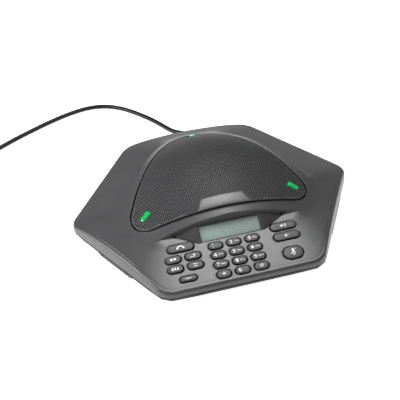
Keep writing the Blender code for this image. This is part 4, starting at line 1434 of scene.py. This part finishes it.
@dataclass
class Display:
    """The raised display ramp: bezel, clear window and the panel under it."""

    tilt: float = 43.0
    foot_a: float = 79.2
    top_a: float = 68.1
    half_width: float = 30.0
    side_fall: float = 0.35
    thickness: float = 2.2
    window: tuple = (53.0, 13.0)
    window_up: float = 7.4
    pane_outs: tuple = (-1.7, -0.75)
    panel: tuple = (54.6, 13.9)
    panel_outs: tuple = (-6.2, -2.3)
    edge_round: float = 0.22

    def wide(self) -> float:
        """Half width where the side facets run out into the keypad facet."""
        t, f = math.tan(math.radians(self.tilt)), math.tan(math.radians(FORM.facet_tilt))
        return self.half_width + (t - f) * (self.foot_a - self.top_a) / self.side_fall

    def plan(self, gap: float, side_gap: float) -> np.ndarray:
        """The bezel's plan, anticlockwise, widened by a gap at foot and top and one at the sides."""
        w = self.wide()
        return np.array([(-self.half_width - gap, -self.foot_a - gap),
                         (self.half_width + gap, -self.foot_a - gap),
                         (w + side_gap, -self.top_a + gap - 0.1), (-w - side_gap, -self.top_a + gap - 0.1)])

    def ramp(self, up: float) -> Matrix:
        """The frame of a point on the ramp, `up` from its foot, with Z along the ramp's normal."""
        t = math.radians(self.tilt)
        y = -self.foot_a + up * math.cos(t)
        z = float(FORM.facet(self.foot_a)) + up * math.sin(t)
        return Matrix.Translation((0, y, z)) @ Matrix.Rotation(t, 4, "X")

    def make_bezel(self) -> bpy.types.Object:
        """The bezel: across it each column rises from the foot line to the top line.

        Returns:
            A closed plate with its window pocket cut and its edges rounded. The foot line follows
            the plan; the top line is level over the window and falls away at `side_fall` beside it.
        """
        wide = self.wide()
        across = np.concatenate([np.linspace(-wide, -self.half_width, 8)[:-1],
                                 np.linspace(-self.half_width, self.half_width, 13),
                                 np.linspace(self.half_width, wide, 8)[1:]])
        beyond = np.maximum(np.abs(across) - self.half_width, 0)
        foot = -self.foot_a + beyond * (self.foot_a - self.top_a) / (wide - self.half_width)
        top_z = (float(FORM.facet(self.foot_a)) + math.tan(math.radians(self.tilt))
                 * (self.foot_a - self.top_a) - self.side_fall * beyond)
        foot_z = np.array([float(FORM.facet(-y)) for y in foot])
        share = np.linspace(0, 1, 7)[:, None]
        y = foot + (-self.top_a - foot) * share
        z = foot_z + (top_z - foot_z) * share
        x = np.broadcast_to(across, y.shape)
        keep = slice(1, -1)
        upper = np.stack([x, y, z], axis=2)[:, keep]
        lower = upper - [0, 0, self.thickness]
        rows, columns = upper.shape[:2]
        points = np.concatenate([upper.reshape(-1, 3), lower.reshape(-1, 3)])
        n = rows * columns
        faces = Mesher.grid_faces(rows, columns, False, False).tolist()
        faces += Mesher.grid_faces(rows, columns, False, False, n)[:, ::-1].tolist()
        border = ([k for k in range(columns)] + [k * columns + columns - 1 for k in range(1, rows)]
                  + [(rows - 1) * columns + k for k in range(columns - 2, -1, -1)]
                  + [k * columns for k in range(rows - 2, 0, -1)])
        faces += [[a, b, b + n, a + n] for a, b in zip(border, border[1:] + border[:1])]
        bezel = Mesher.build("display_frame", points, faces, Palette.SHELL)
        lines = [pill(self.window[0] + g, self.window[1] + g, 0.7 + g / 2, 6) for g in (0.7, 0.7, 1.1, 2.6)]
        tool = placed(stacked(lines, [-9.0, -self.edge_round, 0.04, 1.2]), self.ramp(self.window_up))
        pocket = Mesher.loft("pocket_tool", tool, Palette.SHELL)
        # painted shade: the window pocket's walls are near-black, for the shade inside the pocket, though
        # they are part of the bezel's moulding
        shaded_walls = np.arange(len(pocket.data.polygons)) < tool.shape[1]
        bezel.data.materials.append(Palette.get(Palette.SHADE_BLACK))
        Mesher.cut(bezel, Mesher.line(pocket, Palette.SHADE_BLACK, shaded_walls))
        Mesher.bevel(bezel, self.edge_round, 2, 30.0)
        Mesher.apply(bezel)
        bezel.data.shade_smooth()
        bezel.data.set_sharp_from_angle(angle=math.radians(35.0))
        return dress(bezel, "shell", "display_bezel")

    def slab(self, name: str, size: tuple, outs: tuple, finish: object) -> bpy.types.Object:
        """A rounded plate parallel to the ramp, behind the window, between two heights out of it."""
        low, high = outs
        lines = [pill(size[0] - 2 * i, size[1] - 2 * i, 0.6, 5) for i in (0.15, 0.0, 0.0, 0.15)]
        heights = [low, low + 0.15, high - 0.15, high]
        return Mesher.loft(name, placed(stacked(lines, heights), self.ramp(self.window_up)), finish)

    def build(self) -> None:
        """Makes the bezel, window and panel and puts them on the unit."""
        self.make_bezel()
        window = self.slab("display_pane", self.window, self.pane_outs, Palette.WINDOW)
        dress(window, "display_glass", "display_window")
        panel = self.slab("display_face", self.panel, self.panel_outs, Palette.PANEL)
        dress(panel, "display_panel", "display_module")


# ---------------------------------------------------------------- keys


@dataclass
class Keypad:
    """The travelling keys and the legends printed on them."""

    skirt: float = -3.4
    stands: float = 0.45
    shoulder: float = 0.55
    rise: float = 0.25
    ink: float = 0.035

    def crown(self, inset: np.ndarray, half: float) -> np.ndarray:
        """Height of a key's top at a distance in from its edge.

        Args:
            inset: distance in from the outline.
            half: half of the key's smaller side.

        Returns:
            A quarter-round shoulder that runs into a shallow crown.
        """
        r = self.shoulder
        quarter = np.sqrt(np.maximum(r * r - (r - np.minimum(inset, r)) ** 2, 0))
        return self.stands + quarter + self.rise * (1 - (1 - np.clip(inset / half, 0, 1)) ** 2)

    def make_key(self, spec: KeySpec) -> bpy.types.Object:
        """One key: its outline carried inwards while it rises along the crown."""
        half = spec.height / 2
        insets = np.concatenate([[0.0, 0.0], self.shoulder * (1 - np.cos(np.linspace(0, math.pi / 2, 7))),
                                 np.linspace(self.shoulder, half - 0.02, 8)[1:]])
        lines = [pill(spec.width - 2 * i, spec.height - 2 * i, half - i, 10) for i in insets]
        heights = self.crown(insets, half)
        heights[0] = self.skirt
        rings = placed(stacked(lines, heights.tolist()), on_facet(spec.x, spec.up))
        key = Mesher.loft(spec.node.replace("key_", "button_"), rings, Palette.KEY, sharp=50.0)
        return dress(key, "keys", spec.node, body=spec.node + "_cap")

    def lay(self, name: str, spec: KeySpec, plan: np.ndarray, faces: list) -> bpy.types.Object:
        """A printed mark laid on a key's top.

        Args:
            name: the piece's name.
            spec: the key under it.
            plan: points in the key's own plane.
            faces: lists of point numbers.

        Returns:
            The mark, just clear of the crown.
        """
        half = spec.height / 2
        over = np.maximum(np.abs(plan[:, 0]) - (spec.width / 2 - half), 0)
        inset = half - np.hypot(over, plan[:, 1])
        z = self.crown(inset, half) + self.ink
        points = placed(np.column_stack([plan, z]), on_facet(spec.x, spec.up))
        mark = Mesher.build(name, points, faces, Palette.INK, outward=False)
        return dress(mark, "keys", body=spec.node + "_cap")

    def build(self) -> None:
        """Makes every key and its legend."""
        for spec in key_specs():
            self.make_key(spec)
            parts = Legend.parts(spec.legend)
            if parts:
                plan, faces = Legend.joined(parts)
                self.lay(spec.node.replace("key_", "legend_"), spec, plan, faces)


class Legend:
    """Printed marks as flat pieces: digits from the plain font, symbols from strokes and discs."""

    @staticmethod
    def disc(x: float, y: float, r: float, start: float = 0.0, end: float = 360.0) -> tuple:
        """A filled circle, or a filled segment of one."""
        t = np.radians(np.linspace(start, end, 21))
        rim = np.column_stack([x + r * np.cos(t), y + r * np.sin(t)])
        points = np.vstack([[[x, y]], rim])
        return points, [[0, k, k + 1] for k in range(1, 21)]

    @staticmethod
    def stroke(points: list, width: float) -> tuple:
        """A line of even width through points."""
        p = np.array(points, float)
        ahead = np.gradient(p, axis=0)
        ahead /= np.linalg.norm(ahead, axis=1)[:, None]
        side = np.column_stack([-ahead[:, 1], ahead[:, 0]]) * width / 2
        n = len(p)
        return np.vstack([p - side, p + side]), [[k, k + 1, n + k + 1, n + k] for k in range(n - 1)]

    @classmethod
    def arc(cls, x: float, y: float, r: float, start: float, end: float, width: float) -> tuple:
        """A stroke along part of a circle."""
        t = np.radians(np.linspace(start, end, 15))
        return cls.stroke(np.column_stack([x + r * np.cos(t), y + r * np.sin(t)]), width)

    @staticmethod
    def text(body: str, size: float, x: float, y: float) -> tuple:
        """Characters of the built-in font, centred on a point."""
        curve = bpy.data.curves.new("characters", "FONT")
        curve.body = body
        curve.size = size
        curve.align_x = "CENTER"
        curve.align_y = "CENTER"
        curve.resolution_u = 4
        curve.offset = 0.02 * size
        obj = bpy.data.objects.new("characters", curve)
        bpy.context.scene.collection.objects.link(obj)
        mesh = bpy.data.meshes.new_from_object(obj.evaluated_get(bpy.context.evaluated_depsgraph_get()))
        bpy.data.objects.remove(obj, do_unlink=True)
        flat = np.zeros(len(mesh.vertices) * 3)
        mesh.vertices.foreach_get("co", flat)
        points = flat.reshape(-1, 3)[:, :2] + [x, y]
        faces = [list(face.vertices) for face in mesh.polygons]
        bpy.data.meshes.remove(mesh)
        return points, faces

    @staticmethod
    def joined(parts: list) -> tuple:
        """Several marks as one set of points and faces."""
        points, faces, first = [], [], 0
        for plan, own in parts:
            points.append(plan)
            faces += [[n + first for n in face] for face in own]
            first += len(plan)
        return np.vstack(points), faces

    @classmethod
    def speaker(cls, x: float, waves: int) -> list:
        """A small loudspeaker with sound waves."""
        body = [(x - 1.5, -0.6), (x - 0.7, -0.6), (x + 0.5, -1.6), (x + 0.5, 1.6), (x - 0.7, 0.6),
                (x - 1.5, 0.6)]
        shape = (np.array(body), [[0, 1, 4, 5], [1, 2, 3, 4]])
        return [shape] + [cls.arc(x + 0.6, 0, 1.1 + 0.95 * k, -38, 38, 0.36) for k in range(waves)]

    @classmethod
    def parts(cls, name: str) -> list:
        """The marks of one key, by its legend's name."""
        if name.isdigit():
            count = {"0": 0, "1": 0, "7": 4, "9": 4}.get(name, 3)
            spread = 1.35 * (np.arange(count) - (count - 1) / 2)
            return [cls.text(name, 4.6, -2.5, 0.0)] + [cls.disc(2.3 + dx, 0.0, 0.42) for dx in spread]
        if name == "star":
            arms = [(1.5 * math.cos(a), 1.5 * math.sin(a)) for a in np.radians([30, 90, 150])]
            return [cls.stroke([(-x, -y), (x, y)], 0.5) for x, y in arms]
        if name == "hash":
            lines = [[(-1.7, y), (1.7, y)] for y in (-0.65, 0.65)]
            lines += [[(x - 0.3, -1.7), (x + 0.3, 1.7)] for x in (-0.65, 0.65)]
            return [cls.stroke(line, 0.42) for line in lines]
        return cls.symbols().get(name, [])

    @classmethod
    def symbols(cls) -> dict:
        """The symbols of the side keys."""
        person = [cls.disc(0, 0.75, 0.62), cls.disc(0, -1.15, 1.1, 0, 180)]
        crowd = [(p + np.array([dx, dy]), f) for dx, dy in ((-2.3, -0.1), (0, 0.1), (2.3, -0.1))
                 for p, f in person]
        return {
            "hook": [cls.arc(0, -1.7, 3.0, 32, 148, 0.95), cls.stroke([(2.1, -1.1), (3.3, -0.2)], 1.7),
                     cls.stroke([(-3.3, -0.2), (-2.1, -1.1)], 1.7)],
            "upper_left": [cls.stroke([(-2.4, 0), (-0.4, 0)], 2.0), cls.stroke([(0.6, 0), (2.6, 0)], 2.0)],
            "upper_right": [cls.stroke([(-2.6, -1.1), (1.2, -1.1)], 0.5),
                            cls.stroke([(1.2, -1.3), (1.2, 0.5)], 0.5),
                            (np.array([(0.0, 0.4), (2.4, 0.4), (1.2, 1.8)]), [[0, 1, 2]])],
            "lower_left": crowd,
            "lower_right": [cls.stroke([(x, -1.5), (x, 1.5)], 0.95) for x in (-0.9, 0.9)],
            "slim": [cls.stroke([(-2.6, 0), (2.6, 0)], 0.5)],
            "volume_up": cls.speaker(-1.2, 3),
            "volume_down": cls.speaker(-0.8, 1),
            "mute": [cls.stroke([(0, 0.2), (0, 2.9)], 1.7), cls.disc(0, 2.9, 0.85, 0, 180),
                     cls.disc(0, 0.2, 0.85, 180, 360), cls.arc(0, 0.3, 1.75, 190, 350, 0.42),
                     cls.stroke([(0, -1.4), (0, -2.5)], 0.42), cls.stroke([(-1.1, -2.6), (1.1, -2.6)], 0.42),
                     cls.stroke([(-2.6, -1.9), (2.6, 3.2)], 0.45)],
        }


# ---------------------------------------------------------------- base and inside


@dataclass
class Base:
    """Lower housing, feet and screws."""

    def build(self) -> None:
        """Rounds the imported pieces' edges and dresses them."""
        housing = Mesher.refined("bottom_housing", "lower_housing", Palette.BASE, 0.25)
        dress(housing, "base", "bottom_housing")
        for lobe in Lobe:
            node = "foot_" + lobe.node
            foot = Mesher.refined(node, "rubber_" + node, Palette.RUBBER, 0.3)
            dress(foot, "foot_rubber", node)
        for index in range(1, 7):
            self.screw(index)

    @staticmethod
    def screw(index: int) -> bpy.types.Object:
        """One screw: a turned head, cross recess and threaded shank."""
        low, high = (np.array(corner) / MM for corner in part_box("screw_%d" % index))
        x, y = (low[:2] + high[:2]) / 2
        z = np.linspace(2.9, 9.2, 64)
        thread = 1.28 + 0.16 * np.abs(((z - 2.9) / 0.9) % 1.0 - 0.5) * 2
        profile = [(0.3, 1.85), (1.6, 1.92), (2.5, 2.1), (2.9, 2.35), (2.98, 2.6), (1.45, 2.62)]
        profile += list(zip(thread.tolist(), z.tolist())) + [(0.7, 9.95)]
        rings = turned(profile, 24) + [x, y, 0]
        screw = Mesher.loft("case_screw_%d" % index, rings, Palette.STEEL)
        for turn in (0.0, 90.0):
            arm = stacked([pill(0.9, 3.2, 0.2, 3), pill(0.6, 2.2, 0.2, 3)], [1.2, 2.45])
            spot = Matrix.Translation((x, y, 0)) @ Matrix.Rotation(math.radians(turn + 15 * index), 4, "Z")
            Mesher.cut(screw, Mesher.loft("recess", placed(arm, spot), Palette.STEEL))
        return dress(screw, "screw_steel", "screw_%d" % index)


@dataclass
class Inside:
    """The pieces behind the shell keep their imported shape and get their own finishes."""

    finishes: dict = field(default_factory=lambda: {
        "main_board": Palette.BOARD, "keypad_board": Palette.BOARD, "speaker_frame": Palette.STEEL,
        "speaker_magnet": Palette.STEEL, "speaker_cone": Palette.CONE, "rating_label": Palette.LABEL,
        **{"microphone_" + lobe.node: Palette.CAN for lobe in Lobe},
        **{"microphone_sleeve_" + lobe.node: Palette.RUBBER for lobe in Lobe}})

    def build(self) -> None:
        """Gives each kept node its material."""
        for node, finish in self.finishes.items():
            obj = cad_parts[node]
            if not obj.material_slots:
                obj.data.materials.append(None)
            for slot in obj.material_slots:
                slot.link = "OBJECT"
                slot.material = Palette.get(finish)


def main() -> None:
    """Builds the whole scene in order and reports each piece."""
    logging.basicConfig(level=logging.INFO, format="%(name)s: %(message)s")
    studio = Studio()
    studio.camera()
    cord = LineCord()
    cord.build()
    LOG.info("line cord: %.0f mm long", cord.length)
    studio.build()
    for part in (TopShell(), SpeakerGrille(), Display(), Keypad(), Base(), Inside()):
        before = set(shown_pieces())
        part.build()
        for piece in sorted(set(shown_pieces()) - before, key=lambda o: o.name):
            LOG.info("%s: %s", type(part).__name__, piece.name)


if __name__ == "__main__":
    main()
